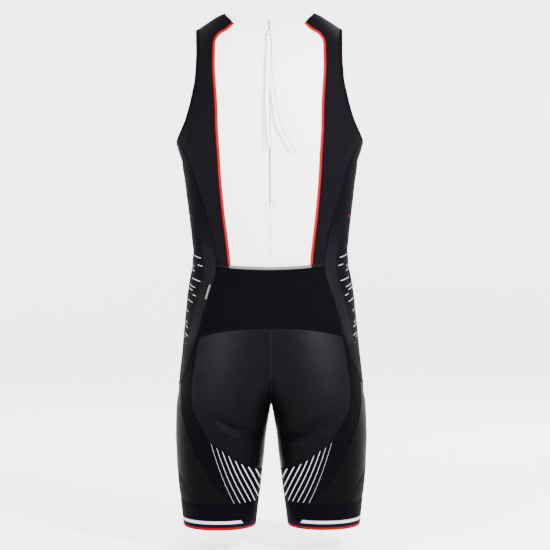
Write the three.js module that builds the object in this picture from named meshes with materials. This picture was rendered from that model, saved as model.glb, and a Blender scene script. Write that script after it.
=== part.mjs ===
// A sleeveless triathlon suit with a rear zip, filled out as it is worn, in millimetres.
// +Z is up, the back of the suit faces +Y and +X is the wearer's left. The origin lies midway between
// the neck ends of the two shoulder seams, where the shoulders carry the suit.
// A point of the suit's surface is named by its turn and its height. The turn is an angle round the body
// or leg, in degrees: 0 at the outer side, 90 in the middle of the back, 180 at the inside of a leg, and
// below zero on the front. The height is the level, down to the hem, and above the arch it goes on along
// the curve over the shoulder, up to 0 on the shoulder ridge.
import * as THREE from "three";

// Driving sizes
const CLOTH = 1.4; // wall of a sewn panel
const SEAM_GAP = 0.3; // between two pieces at a seam
const ARCH_START = -125; // where the back and the chest start to curve over to the shoulder ridge
const NECK_HALF = 85; // from the middle to the neck end of a shoulder seam
const RIDGE_SLOPE = 0.68; // fall of the shoulder ridge
const RIDGE_ROUND = 12; // how softly the ridge starts to fall
const CROTCH = -719;
const SEAT_END = -842; // lower end of the seat panel on the inside of the leg
const CUFF_SEAM = -895;
const HEM = -942;
const HIP_SEAM = -680; // top of the outer leg panels at the front
const FRONT_SEAM = -600; // between the front of the body and the fronts of the legs
const ZIP_END = -353;
const TRIM_WIDTH = 5; // red trim between the white and the black of the back
const BINDING = 2; // thickness of a binding
const BINDING_LIFT = 0.4; // how far a binding stands proud of the panels
const POCKET_LIFT = 2.4; // outer face of the pocket above the back panels
const POCKET_GAPE = 3.5; // how far the mouth of the pocket stands open in the middle
const ELASTIC = 5; // height of the elastic along the mouth of the pocket
const LABEL_LINE = [[106.5, -500], [112, -520]]; // inner edge of the label, beside the pocket's left seam
const LABEL_WIDTH = 5;
const LABEL_LIFT = 1.2; // outer face of the label above the side panel
const LABEL_WALL = 0.8;
const ZIP_TAPE = 22; // width of the tape behind the panels
const TAPE_CLEAR = 0.7;
const TAPE_WALL = 0.9;
const SLIDER = { level: -50, top: 7, bottom: 6, height: 10, bulge: 0.8, thick: 1.6, bevel: 0.5, clear: 0.4 };
const RIBBON = 9.5; // width of the pull ribbon
const RIBBON_WALL = 1;
const DEGREE = Math.PI / 180;

function table(columns, rows) {
  return rows.map((row) => Object.fromEntries(columns.map((name, i) => [name, row[i]])));
}

// One row a level: outer is half the width, middle is where a leg's ring has its centre, inner is its
// inside (below zero the two legs are one), back and front are the depths, square and hollow say how
// boxy the outer and the inner half of the ring are.
const RINGS = table(
  ["level", "outer", "middle", "inner", "back", "front", "square", "hollow"],
  [
    [0, 150, 0, -150, 92, 80, 2.4, 2.4],
    [-60, 150, 0, -150, 97, 90, 2.4, 2.4],
    [-125, 153, 0, -150, 103, 101, 2.4, 2.4],
    [-165, 161, 0, -150, 104, 108, 2.35, 2.4],
    [-200, 168, 0, -150, 103, 112, 2.3, 2.4],
    [-236, 172, 0, -150, 101, 114, 2.3, 2.4],
    [-270, 164.5, 0, -150, 98, 113, 2.3, 2.4],
    [-307, 158, 0, -150, 93, 110, 2.3, 2.4],
    [-344, 153.5, 0, -150, 87, 108, 2.3, 2.4],
    [-381, 149, 0, -150, 81, 106, 2.3, 2.4],
    [-418, 145, 0, -150, 77, 105, 2.3, 2.5],
    [-446, 144, 0, -150, 76, 105, 2.3, 2.6],
    [-474, 147, 0, -150, 80, 106, 2.3, 2.7],
    [-511, 153, 0, -150, 92, 107, 2.25, 2.8],
    [-548, 157, 0, -150, 105, 107, 2.2, 3],
    [-585, 160.5, 20, -130, 115, 105, 2.2, 3],
    [-622, 164, 44, -86, 120, 102, 2.2, 3],
    [-659, 168, 62, -38, 120, 98, 2.2, 3],
    [-696, 172, 78, -11, 114, 93, 2.2, 3],
    [-719, 174.5, 87, 0, 107, 90, 2.2, 2.9],
    [-751, 176, 91, 6, 96, 87, 2.2, 2.7],
    [-779, 176.5, 93.5, 10.5, 90, 86, 2.15, 2.5],
    [-807, 175.5, 94, 13, 86, 84, 2.1, 2.4],
    [-844, 173.5, 95.5, 17.5, 82, 81, 2.1, 2.3],
    [-881, 170, 95.7, 21.5, 79, 78, 2.1, 2.2],
    [-908, 166.7, 96, 25, 77, 75, 2.1, 2.2],
    [-942, 163, 96, 29, 75, 73, 2.1, 2.2],
  ],
);

// Soft troughs and ridges of the seat, one row each: the middle and the two ends of an arc on the left
// half of the back, how deep it is (ridges are above zero), and half its width.
const FOLDS = table(
  ["x1", "z1", "x2", "z2", "x3", "z3", "depth", "reach"],
  [
    [100, -736, 66, -754, 26, -766, -3, 11],
    [98, -752, 66, -770, 28, -781, 2.5, 12],
    [47, -698, 61, -715, 74, -735, 2, 12],
  ],
);

// The value of a column at a place in a table or list, on a smooth curve that never overshoots a row.
function smooth(rows, key, column, at) {
  const places = rows.map((row) => row[key]);
  const values = rows.map((row) => row[column]);
  const rising = places[places.length - 1] > places[0] ? 1 : -1;
  const last = rows.length - 1;
  const x = Math.min(Math.max(rising * at, rising * places[0]), rising * places[last]);
  let i = 0;
  while (i < last - 1 && x > rising * places[i + 1]) i += 1;
  const slope = (k) => (values[k + 1] - values[k]) / (rising * (places[k + 1] - places[k]));
  const tangent = (k) => {
    if (k === 0) return slope(0);
    if (k === last) return slope(last - 1);
    const before = slope(k - 1);
    const after = slope(k);
    return before * after <= 0 ? 0 : (2 * before * after) / (before + after);
  };
  const span = rising * (places[i + 1] - places[i]);
  const t = (x - rising * places[i]) / span;
  const start = (1 + 2 * t) * (1 - t) ** 2 * values[i] + t * (1 - t) ** 2 * span * tangent(i);
  return start + t * t * (3 - 2 * t) * values[i + 1] + t * t * (t - 1) * span * tangent(i + 1);
}

const ringStore = new Map();
function ringAt(level) {
  const key = Math.round(level * 100);
  if (!ringStore.has(key)) {
    const ring = {};
    for (const column of Object.keys(RINGS[0])) ring[column] = smooth(RINGS, "level", column, level);
    ringStore.set(key, ring);
  }
  return ringStore.get(key);
}

// Level of the shoulder ridge at a distance from the middle
function ridge(x) {
  const past = Math.abs(x) - NECK_HALF;
  return (-RIDGE_SLOPE * (past + Math.hypot(past, RIDGE_ROUND) - RIDGE_ROUND)) / 2;
}

function archAngle(height) {
  return height > ARCH_START ? (1 - height / ARCH_START) * 90 * DEGREE : 0;
}

function levelOf(height) {
  return height > ARCH_START ? ARCH_START * (1 - Math.sin(archAngle(height))) : height;
}

// The turn at which the left half of the suit reaches the middle plane, or 180 on a leg
function middleTurn(level) {
  const ring = ringAt(level);
  if (ring.middle <= 0) return 90;
  const share = Math.min(1, ring.middle / (ring.middle - ring.inner));
  return 90 + Math.asin(share ** (ring.hollow / 2)) / DEGREE;
}

// How far the folds of the seat push the cloth out at a place on the back
function foldAt(x, z) {
  let push = 0;
  for (const fold of FOLDS) {
    const steps = 8;
    let near = Infinity;
    for (let i = 0; i <= steps; i += 1) {
      const t = i / steps;
      const weights = [(1 - t) * (1 - 2 * t), 4 * t * (1 - t), t * (2 * t - 1)];
      const fx = weights[0] * fold.x1 + weights[1] * fold.x2 + weights[2] * fold.x3;
      const fz = weights[0] * fold.z1 + weights[1] * fold.z2 + weights[2] * fold.z3;
      near = Math.min(near, Math.hypot(x - fx, z - fz));
    }
    push += fold.depth * Math.exp(-((near / fold.reach) ** 2));
  }
  return push;
}

// The point of the left half at a turn and height
function formPoint(turn, height) {
  let around = turn > 180 ? turn - 360 : turn;
  around = around < -180 ? around + 360 : around;
  const arch = archAngle(height);
  const ring = ringAt(levelOf(height));
  const away = Math.abs(around);
  const outerHalf = away <= 90;
  const angle = (outerHalf ? away : away - 90) * DEGREE;
  const power = 2 / (outerHalf ? ring.square : ring.hollow);
  const sine = Math.max(0, Math.sin(angle)) ** power;
  const cosine = Math.max(0, Math.cos(angle)) ** power;
  const x = outerHalf
    ? ring.middle + (ring.outer - ring.middle) * cosine
    : ring.middle - (ring.middle - ring.inner) * sine;
  const share = outerHalf ? sine : cosine;
  const depth = around >= 0 ? ring.back : -ring.front;
  const top = ridge(x);
  const z = height > ARCH_START ? ARCH_START + (top - ARCH_START) * Math.sin(arch) : height;
  return new THREE.Vector3(x, depth * share * Math.cos(arch), z);
}

function normalAt(turn, height) {
  const step = 0.5; // degrees and millimetres
  const across = formPoint(turn + step, height).sub(formPoint(turn - step, height));
  const up = formPoint(turn, height + step).sub(formPoint(turn, height - step));
  return across.cross(up).normalize();
}

function surface(turn, height) {
  const point = formPoint(turn, height);
  const push = turn > 0 ? foldAt(point.x, point.z) : 0;
  return point.addScaledVector(normalAt(turn, height), push);
}

// The turn and height of the place on the back, or the front, at a distance from the middle and a level
function mark(x, z, face = 1) {
  const sine = (z - ARCH_START) / (ridge(x) - ARCH_START);
  const arch = Math.asin(Math.min(1, Math.max(0, sine)));
  const height = sine > 0 ? ARCH_START * (1 - arch / (90 * DEGREE)) : z;
  const ring = ringAt(levelOf(height));
  const outerHalf = x >= ring.middle;
  const reach = outerHalf ? ring.outer - ring.middle : ring.middle - ring.inner;
  const share = Math.min(1, Math.abs(x - ring.middle) / reach);
  const turn = outerHalf
    ? Math.acos(share ** (ring.square / 2)) / DEGREE
    : 90 + Math.asin(share ** (ring.hollow / 2)) / DEGREE;
  return { turn: turn * face, height };
}

// A smooth run of marks through a few chosen ones, cut into equal steps
function run(marks, steps) {
  const along = [0];
  for (let i = 1; i < marks.length; i += 1) {
    const a = surface(marks[i - 1].turn, marks[i - 1].height);
    along.push(along[i - 1] + a.distanceTo(surface(marks[i].turn, marks[i].height)));
  }
  const rows = marks.map((m, i) => ({ along: along[i], turn: m.turn, height: m.height }));
  const length = along[along.length - 1];
  return Array.from({ length: steps + 1 }, (_, i) => ({
    turn: smooth(rows, "along", "turn", (length * i) / steps),
    height: smooth(rows, "along", "height", (length * i) / steps),
  }));
}

// Seams through places on the back, or through turns and heights
function backMark([x, z]) {
  return mark(x, z);
}

function backSeam(places, steps) {
  return run(places.map(backMark), steps);
}

function turnSeam(places, steps) {
  return run(places.map(([turn, height]) => ({ turn, height })), steps);
}

// Equal steps down the middle of the back, or of the front, which shorten towards the end if it is eased
function centreLine(from, to, steps, face = 1, eased = false) {
  return Array.from({ length: steps + 1 }, (_, i) => {
    const share = eased ? Math.sin((i / steps) * 90 * DEGREE) : i / steps;
    const height = from + (to - from) * share;
    return { turn: face * middleTurn(levelOf(height)), height };
  });
}

function toFront(seam) {
  return seam.map((m) => ({ turn: -m.turn, height: m.height }));
}

function join(...seams) {
  return seams.flatMap((seam, i) => (i === 0 ? seam : seam.slice(1)));
}

function reversed(seam) {
  return [...seam].reverse();
}

// A patch of marks between four seams: top and bottom run the same way, and so do left and right
function patch(top, bottom, left, right) {
  const columns = top.length - 1;
  const rows = left.length - 1;
  const blend = (key, i, j) => {
    const s = i / columns;
    const t = j / rows;
    const levels = (1 - t) * top[i][key] + t * bottom[i][key];
    const turns = (1 - s) * left[j][key] + s * right[j][key];
    const near = (1 - t) * ((1 - s) * top[0][key] + s * top[columns][key]);
    const far = t * ((1 - s) * bottom[0][key] + s * bottom[columns][key]);
    return levels + turns - near - far;
  };
  const place = (i, j) => ({ turn: blend("turn", i, j), height: blend("height", i, j) });
  return left.map((_, j) => top.map((__, i) => place(i, j)));
}

// Moves the edge of a grid of points in from its seams. wrap says that the columns run round a ring.
function trimmed(points, normals, gap, wrap) {
  const rows = points.length - 1;
  const columns = points[0].length - 1;
  const moved = points.map((row) => row.map((p) => p.clone()));
  const shift = (j, i, before, after, inside) => {
    const along = after.clone().sub(before).normalize();
    const inward = normals[j][i].clone().cross(along).normalize();
    const side = inside.clone().sub(points[j][i]).dot(inward) < 0 ? -1 : 1;
    moved[j][i].addScaledVector(inward, side * gap);
  };
  for (let i = 0; i <= columns; i += 1) {
    const before = wrap && i === 0 ? columns - 1 : Math.max(0, i - 1);
    const after = wrap && i === columns ? 1 : Math.min(columns, i + 1);
    shift(0, i, points[0][before], points[0][after], points[1][i]);
    shift(rows, i, points[rows][before], points[rows][after], points[rows - 1][i]);
  }
  for (let j = 0; j <= rows && !wrap; j += 1) {
    const before = Math.max(0, j - 1);
    const after = Math.min(rows, j + 1);
    shift(j, 0, points[before][0], points[after][0], points[j][1]);
    shift(j, columns, points[before][columns], points[after][columns], points[j][columns - 1]);
  }
  return moved;
}

// One closed wall between an outer and an inner grid of points
function wall(outer, inner, wrap) {
  const rows = outer.length;
  const columns = wrap ? outer[0].length - 1 : outer[0].length;
  const size = rows * columns;
  const at = (layer, j, i) => layer * size + j * columns + (i % columns);
  const faces = [];
  const quad = (a, b, c, d) => faces.push(a, b, c, a, c, d);
  const lastColumn = wrap ? columns : columns - 1;
  for (let j = 0; j < rows - 1; j += 1) {
    for (let i = 0; i < lastColumn; i += 1) {
      quad(at(0, j, i), at(0, j + 1, i), at(0, j + 1, i + 1), at(0, j, i + 1));
      quad(at(1, j, i), at(1, j, i + 1), at(1, j + 1, i + 1), at(1, j + 1, i));
    }
  }
  for (let i = 0; i < lastColumn; i += 1) {
    quad(at(0, 0, i), at(0, 0, i + 1), at(1, 0, i + 1), at(1, 0, i));
    quad(at(0, rows - 1, i), at(1, rows - 1, i), at(1, rows - 1, i + 1), at(0, rows - 1, i + 1));
  }
  for (let j = 0; j < rows - 1 && !wrap; j += 1) {
    quad(at(0, j, 0), at(1, j, 0), at(1, j + 1, 0), at(0, j + 1, 0));
    const end = columns - 1;
    quad(at(0, j, end), at(0, j + 1, end), at(1, j + 1, end), at(1, j, end));
  }
  const points = [outer, inner].flatMap((grid) => grid.flatMap((row) => row.slice(0, columns)));
  if (signedVolume(points, faces) < 0) faces.reverse();
  const geometry = new THREE.BufferGeometry();
  geometry.setAttribute("position", new THREE.Float32BufferAttribute(points.flatMap((p) => p.toArray()), 3));
  geometry.setIndex(faces);
  geometry.computeVertexNormals();
  return geometry;
}

function signedVolume(points, faces) {
  let volume = 0;
  for (let i = 0; i < faces.length; i += 3) {
    const [a, b, c] = [points[faces[i]], points[faces[i + 1]], points[faces[i + 2]]];
    volume += a.dot(b.clone().cross(c));
  }
  return volume;
}

// The wall of cloth on a grid of marks. lift moves it out, as a number or by a function of the place in
// the grid, right mirrors it to the wearer's right, and a grid of both halves comes from bothHalves.
function cloth(marks, { lift = 0, thick = CLOTH, right = false, wrap = false, gap = SEAM_GAP / 2 } = {}) {
  const rows = marks.length - 1;
  const columns = marks[0].length - 1;
  const side = (m) => (m.mirror ? -1 : 1) * (right ? -1 : 1);
  const flip = (v, m) => v.setX(v.x * side(m));
  const normals = marks.map((row) => row.map((m) => flip(normalAt(m.turn, m.height), m)));
  const points = marks.map((row) => row.map((m) => flip(surface(m.turn, m.height), m)));
  const raise = (j, i) => (typeof lift === "function" ? lift(i / columns, j / rows) : lift);
  const edged = trimmed(points, normals, gap, wrap);
  const moved = (p, j, i, by) => p.clone().addScaledVector(normals[j][i], by(j, i));
  const out = (grid, by) => grid.map((row, j) => row.map((p, i) => moved(p, j, i, by)));
  const outer = out(edged, raise);
  const inner = out(outer, () => -thick);
  return wall(outer, inner, wrap);
}

// A grid of the left half carried on to the right half. Its first column lies on the middle plane.
function bothHalves(marks) {
  return marks.map((row) => [...reversed(row.slice(1)).map((m) => ({ ...m, mirror: true })), ...row]);
}

// Seams of the left half run from junction to junction. A place is a distance from the middle and a
// level on the back, or a turn and a height, and the number is how many steps the seam is cut into.

// Armhole: its edge, and the inner edge of its binding
const BINDING_FOOT = [16, -234]; // where the side panel's seams meet the binding
const armBottomEdge = turnSeam([[0, -236], [7, -234.4], [13, -229]], 3);
const armBottomInner = turnSeam([[0, -243], [9, -240.5], BINDING_FOOT], 3);
const armSideEdge = join(
  turnSeam([[13, -229], [20, -217], [26, -198], [29.5, -165], [30.5, -125], [30, -85], [29.2, -58]], 6),
  turnSeam([[29.2, -58], [28.6, -40], [27.2, 0]], 5),
);
const armSideInner = join(
  turnSeam(
    [BINDING_FOOT, [23.5, -222], [29.8, -200], [33.4, -165], [34.6, -125], [34.2, -85], [33.4, -58]],
    6,
  ),
  turnSeam([[33.4, -58], [32.8, -40], [31.2, 0]], 5),
);

// Shoulder seam on the ridge, from the neck to the binding, and the neckline with its binding
const neckTurn = mark(NECK_HALF, ridge(NECK_HALF)).turn;
const ridgeSeam = turnSeam([[neckTurn, 0], [31.2, 0]], 4);
const neckBack = backSeam([[0, -20.5], [24, -19.5], [46, -16.5], [60, -12.5], [74, -7], [NECK_HALF, 0]], 5);
const neckBackInner = backSeam([[0, -30], [24, -29], [46, -26], [60, -21.5], [71, -14.5], [78, -9]], 5);
const neckFront = turnSeam([[-90, -92], [-82, -90], [-73, -78], [-66, -54], [-61, -24], [-neckTurn, 0]], 9);
const neckFrontInner = turnSeam(
  [[-90, -99], [-81, -96.5], [-71, -82], [-63.5, -55], [-58, -24], [-ridgeSeam[1].turn, 0]],
  9,
);

// Red trim of the back, its inner and its outer edge, first along the top and then down the side
const TRIM_TOP = [[63, -28], [76, -41], [88, -48], [97.5, -57]];
const TRIM_CHEST = [[97.5, -57], [97.5, -97], [96, -134], [93.5, -170], [91, -238]];
const TRIM_WAIST = [[91, -238], [87, -313], [84, -349], [80.5, -384], [76, -420], [71.5, -468], [66, -578.5]];
const TRIM_RISE = 3.5; // how far the outer edge of the trim lies above the inner one, along the top
const trimTop = backSeam(TRIM_TOP, 3);
const trimSide = join(backSeam(TRIM_CHEST, 6), backSeam(TRIM_WAIST, 12));
const trimTopOuter = backSeam([[66, -24.2], ...TRIM_TOP.slice(1).map(outsideTrim)], 3);
const trimSideOuter = join(
  backSeam(TRIM_CHEST.map(outsideTrim), 6),
  backSeam(TRIM_WAIST.map(outsideTrim), 12),
);
function outsideTrim([x, z]) {
  return [x + TRIM_WIDTH, z > TRIM_CHEST[1][1] ? z + TRIM_RISE : z];
}

// Side seams of the back, from the armhole past the pocket to the outer leg panel
const sideSeamUpper = run(
  [
    { turn: BINDING_FOOT[0], height: BINDING_FOOT[1] },
    ...[[145, -280], [131, -326], [118, -365], [107.5, -402.6], [100.5, -438], [97, -464]].map(backMark),
  ],
  7,
);
const pocketSide = backSeam(
  [[97, -464], [98.5, -483], [106, -504], [115, -531], [122.5, -556], [133, -594]],
  5,
);
const hipSide = backSeam([[133, -594], [142, -625], [153, -652], [162, -675]], 4);

// Seam between the back and the seat, along the bottom of the pocket
const seatTop = backSeam([[0, -576], [47, -577.5], [66, -578.5]], 5);
const seatTopSide = backSeam([[66 + TRIM_WIDTH, -578.5], [93, -583.5], [129, -592.5]], 3);
const stripTop = backSeam([[129, -592.5], [133, -594]], 5);
const backSideFoot = backSeam([[66 + TRIM_WIDTH, -578.5], [93, -583.5], [129, -592.5], [133, -594]], 4);

// Middle seams, and the inside seams of a leg
const NECK_MIDDLE = mark(0, -30).height;
const PULL_MIDDLE = mark(0, -72).height; // level with the lower end of the trim's slanted top
const backMiddle = join(centreLine(NECK_MIDDLE, PULL_MIDDLE, 4), centreLine(PULL_MIDDLE, -576, 18));
const seatMiddle = centreLine(-576, CROTCH, 9, 1, true);
const frontMiddle = centreLine(-99, FRONT_SEAM, 23, -1);
const frontRise = centreLine(FRONT_SEAM, CROTCH, 9, -1, true);
const inseamSeat = turnSeam([[180, CROTCH], [180, -760], [180, SEAT_END]], 6);
const inseamBack = turnSeam([[180, SEAT_END], [180, CUFF_SEAM]], 5);
const inseamFront = turnSeam([[-180, CROTCH], [-180, -760], [-180, CUFF_SEAM]], 6);

// Seat and legs
const seatSide = join(
  backSeam([[129, -592.5], [136.5, -640], [140.5, -668]], 4),
  backSeam([[140.5, -668], [142, -690], [141.5, -708], [137, -731], [125, -754], [113, -777]], 11),
);
const seatLow = run(
  [...[[113, -777], [89, -796], [64, -815], [39, -828]].map(backMark), { turn: 180, height: SEAT_END }],
  9,
);
const LEG_FOOT = [71, CUFF_SEAM]; // where the curved seam at the back of the leg meets the cuff
const LEG_SIDE_FOOT = 48; // turn at which the front of the leg meets the cuff, round at the back
const legCurve = backSeam(
  [
    [162, -675], [162, -710], [155.6, -750], [142.5, -787],
    [127, -823], [106.7, -855], [81.5, -882.6], LEG_FOOT,
  ],
  11,
);
const legFront = turnSeam(
  [[-30, HIP_SEAM], [-24, -740], [-10, -800], [3, -828], [30, -855], [44, -874], [LEG_SIDE_FOOT, CUFF_SEAM]],
  11,
);
const hipTop = run([mark(162, -675), { turn: 0, height: -681 }, { turn: -30, height: HIP_SEAM }], 6);
const sideFrontUpper = turnSeam(
  [[-BINDING_FOOT[0], BINDING_FOOT[1]], [-24, -290], [-36, -400], [-42, -470], [-38, FRONT_SEAM]],
  12,
);
const sideFrontLower = turnSeam([[-38, FRONT_SEAM], [-30, HIP_SEAM]], 4);
const frontTopLegs = turnSeam([[-middleTurn(FRONT_SEAM), FRONT_SEAM], [-90, FRONT_SEAM], [-38, FRONT_SEAM]], 12);
const cuffBack = run([backMark(LEG_FOOT), { turn: 180, height: CUFF_SEAM }], 9);
const cuffOuter = run([backMark(LEG_FOOT), { turn: LEG_SIDE_FOOT, height: CUFF_SEAM }], 6);
const cuffFront = turnSeam(
  [[-180, CUFF_SEAM], [-90, CUFF_SEAM], [0, CUFF_SEAM], [LEG_SIDE_FOOT, CUFF_SEAM]],
  12,
);

const finishes = {
  white: new THREE.MeshStandardMaterial({ color: "#eceaf0", roughness: 0.75, metalness: 0 }),
  black: new THREE.MeshStandardMaterial({ color: "#17151a", roughness: 0.7, metalness: 0 }),
  red: new THREE.MeshStandardMaterial({ color: "#e3262e", roughness: 0.6, metalness: 0 }),
  seat: new THREE.MeshStandardMaterial({ color: "#2b272b", roughness: 0.55, metalness: 0 }),
  satin: new THREE.MeshStandardMaterial({ color: "#303236", roughness: 0.4, metalness: 0 }),
  silver: new THREE.MeshStandardMaterial({ color: "#9b9ca0", roughness: 0.5, metalness: 0 }),
  plastic: new THREE.MeshStandardMaterial({ color: "#f2f2f0", roughness: 0.35, metalness: 0 }),
};

const suit = new THREE.Group();

function add(name, geometry, finish) {
  const mesh = new THREE.Mesh(geometry, finishes[finish]);
  mesh.name = name;
  suit.add(mesh);
}

// A piece that the suit has on both sides
function addPair(name, marks, finish, options = {}) {
  add(name + "_left", cloth(marks, options), finish);
  add(name + "_right", cloth(marks, { ...options, right: true }), finish);
}

function backPieces() {
  const whiteEdge = join([neckBackInner[5], trimTop[0]], trimTop, trimSide);
  addPair("back_centre", patch(neckBackInner, seatTop, backMiddle, whiteEdge), "white");
  const trimInner = join(trimTop, trimSide);
  const trimOuter = join(trimTopOuter, trimSideOuter);
  addPair("trim", trimInner.map((m, i) => [m, trimOuter[i]]), "red");
  const blackInner = [ridgeSeam[0], neckBackInner[5], ...trimOuter];
  const blackOuter = join(reversed(armSideInner), sideSeamUpper, pocketSide);
  addPair("back_side", patch(ridgeSeam, backSideFoot, blackInner, blackOuter), "black");
}

function frontPieces() {
  const top = [...neckFrontInner, ...toFront(ridgeSeam.slice(2))];
  const side = join(toFront(reversed(armSideInner)), sideFrontUpper);
  add("front_body", cloth(bothHalves(patch(top, frontTopLegs, frontMiddle, side))), "black");
  const legInner = join(frontRise, inseamFront);
  const legOuter = join(sideFrontLower, legFront);
  addPair("front_leg", patch(frontTopLegs, cuffFront, legInner, legOuter), "black");
}

function sidePieces() {
  const top = join(reversed(armBottomInner), toFront(armBottomInner));
  const back = join(sideSeamUpper, pocketSide, hipSide);
  const front = join(sideFrontUpper, sideFrontLower);
  addPair("side", patch(top, hipTop, back, front), "black");
}

function seatAndLegs() {
  const seatUpper = [...seatTop, ...seatTopSide];
  addPair("seat", patch(seatUpper, reversed(seatLow), join(seatMiddle, inseamSeat), seatSide), "seat");
  const stripInner = join(seatSide, seatLow);
  const stripOuter = join(hipSide, legCurve, cuffBack);
  addPair("leg_back", patch(stripTop, inseamBack, stripInner, stripOuter), "black");
  addPair("leg_outer", patch(hipTop, cuffOuter, legCurve, legFront), "satin");
}

function cuffs() {
  const seam = join(reversed(cuffBack), cuffOuter, reversed(cuffFront));
  const levels = [CUFF_SEAM, (CUFF_SEAM + HEM) / 2, HEM];
  const marks = levels.map((height) => seam.map((m) => ({ turn: m.turn, height })));
  addPair("cuff", marks, "black", { wrap: true });
}

function bindings() {
  const around = (bottom, side) =>
    join(bottom, side, toFront(reversed(side)), toFront(reversed(bottom)));
  const arm = [around(armBottomEdge, armSideEdge), around(armBottomInner, armSideInner)];
  const raised = { lift: BINDING_LIFT, thick: BINDING };
  addPair("armhole_binding", arm, "black", { ...raised, wrap: true });
  addPair("neck_binding_back", [neckBack, neckBackInner], "white", raised);
  add("neck_binding_front", cloth(bothHalves([neckFront, neckFrontInner]), raised), "black");
}

// The pocket lies over the back from side seam to side seam, and its mouth stands open in the middle
const MOUTH = [[0, -473], [50, -471], [96.5, -466]];
const pocketMouth = backSeam(MOUTH, 8);
const pocketFoot = backSeam([[0, -575], [47, -576.5], [66, -577.5], [93, -582], [130, -591.5]], 8);
const pocketEdge = backSeam(
  [[96.5, -466], [98, -483], [105.5, -504], [114.5, -531], [121.5, -556], [130, -591.5]],
  6,
);
function pocketStand(across, down) {
  const fromMiddle = Math.abs(2 * across - 1);
  return POCKET_LIFT + POCKET_GAPE * (1 - fromMiddle ** 2) * (1 - down) ** 2;
}

function pocket() {
  const marks = patch(pocketMouth, pocketFoot, centreLine(-473, -575, 6), pocketEdge);
  add("pocket", cloth(bothHalves(marks), { lift: pocketStand }), "black");
  const elasticTop = backSeam(MOUTH.map(([x, z]) => [x, z + ELASTIC]), 8);
  const mouthStand = (across) => pocketStand(across, 0);
  add("pocket_elastic", cloth(bothHalves([elasticTop, pocketMouth]), { lift: mouthStand }), "silver");
  const label = backSeam(LABEL_LINE, 3);
  const outside = backSeam(LABEL_LINE.map(([x, z]) => [x + LABEL_WIDTH, z]), 3);
  add("label", cloth(label.map((m, i) => [m, outside[i]]), { lift: LABEL_LIFT, thick: LABEL_WALL }), "black");
}

// The zip is closed: its tape lies behind the white panels, and its slider on them at the top
function zip() {
  const middle = backMiddle.filter((m) => m.height > ZIP_END);
  const marks = middle.map((m) => [m, mark(ZIP_TAPE / 2, surface(m.turn, m.height).z)]);
  add("zip_tape", cloth(bothHalves(marks), { lift: -CLOTH - TAPE_CLEAR, thick: TAPE_WALL }), "white");
  const outline = new THREE.Shape();
  outline.moveTo(-SLIDER.bottom / 2, -SLIDER.height / 2);
  outline.lineTo(SLIDER.bottom / 2, -SLIDER.height / 2);
  const shoulder = SLIDER.top / 2 + SLIDER.bulge;
  outline.quadraticCurveTo(shoulder, SLIDER.height / 4, SLIDER.top / 3, SLIDER.height / 2);
  outline.lineTo(-SLIDER.top / 3, SLIDER.height / 2);
  outline.quadraticCurveTo(-shoulder, SLIDER.height / 4, -SLIDER.bottom / 2, -SLIDER.height / 2);
  const body = new THREE.ExtrudeGeometry(outline, {
    depth: SLIDER.thick,
    curveSegments: 4,
    bevelThickness: SLIDER.bevel,
    bevelSize: SLIDER.bevel,
    bevelSegments: 1,
  });
  const seat = mark(0, SLIDER.level);
  const normal = normalAt(seat.turn, seat.height);
  const up = new THREE.Vector3(0, -normal.z, normal.y);
  const right = up.clone().cross(normal);
  const place = surface(seat.turn, seat.height).addScaledVector(normal, SLIDER.clear + SLIDER.bevel);
  body.applyMatrix4(new THREE.Matrix4().makeBasis(right, up, normal).setPosition(place));
  add("zip_slider", body, "plastic");
}

// The pull ribbon hangs from the slider in two free tails. A row is the middle of a tail: its distance
// from the middle plane, its level, how far it stands off the back, and how far its right edge is turned out.
const TAIL_LEFT = table(
  ["x", "z", "stand", "twist"],
  [
    [0.8, -55.1, 2.75, 0],
    [0.8, -66, 2.75, 0],
    [1, -80, 2.75, 0],
    [1.8, -98, 2.75, 0],
    [2.6, -116, 2.75, 0],
    [3, -132, 2.75, 0],
    [3.5, -150, 3.1, 0],
    [4, -170, 3.8, 8],
    [3.7, -190, 4.4, 24],
    [3.2, -210, 5.1, 40],
    [2.4, -232, 5.7, 52],
    [0.8, -257, 6.1, 60],
  ],
);
const TAIL_RIGHT = table(
  ["x", "z", "stand", "twist"],
  [
    [0.4, -55.1, 1.3, 0],
    [0.3, -66, 1.3, 0],
    [0.1, -80, 1.3, 0],
    [-0.2, -98, 1.3, 0],
    [-0.6, -116, 1.3, 0],
    [-1.2, -132, 1.3, 0],
    [-2.8, -148, 1.3, 0],
    [-5.8, -163, 1.4, 0],
    [-8.6, -179, 1.8, 0],
    [-10.9, -196, 2.3, 0],
    [-14.4, -213, 3, 0],
    [-20.4, -229, 3.6, 0],
    [-29.3, -245, 4.6, 0],
    [-40.6, -264, 6.4, 0],
  ],
);

function tailPoints(rows) {
  const middles = rows.map((row) => {
    const place = mark(Math.abs(row.x), row.z);
    const mirror = row.x < 0 ? -1 : 1;
    const normal = normalAt(place.turn, place.height).setX(0).normalize();
    const point = surface(place.turn, place.height).addScaledVector(normal, row.stand);
    return { point: point.setX(point.x * mirror), normal, twist: row.twist * DEGREE };
  });
  return middles.map(({ point, normal, twist }, i) => {
    const before = middles[Math.max(0, i - 1)].point;
    const along = middles[Math.min(middles.length - 1, i + 1)].point.clone().sub(before).normalize();
    const flat = along.clone().cross(normal).normalize();
    const across = flat.multiplyScalar(Math.cos(twist)).addScaledVector(normal, Math.sin(twist)).normalize();
    const out = across.clone().cross(along).normalize();
    return { point, across, out };
  });
}

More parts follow.
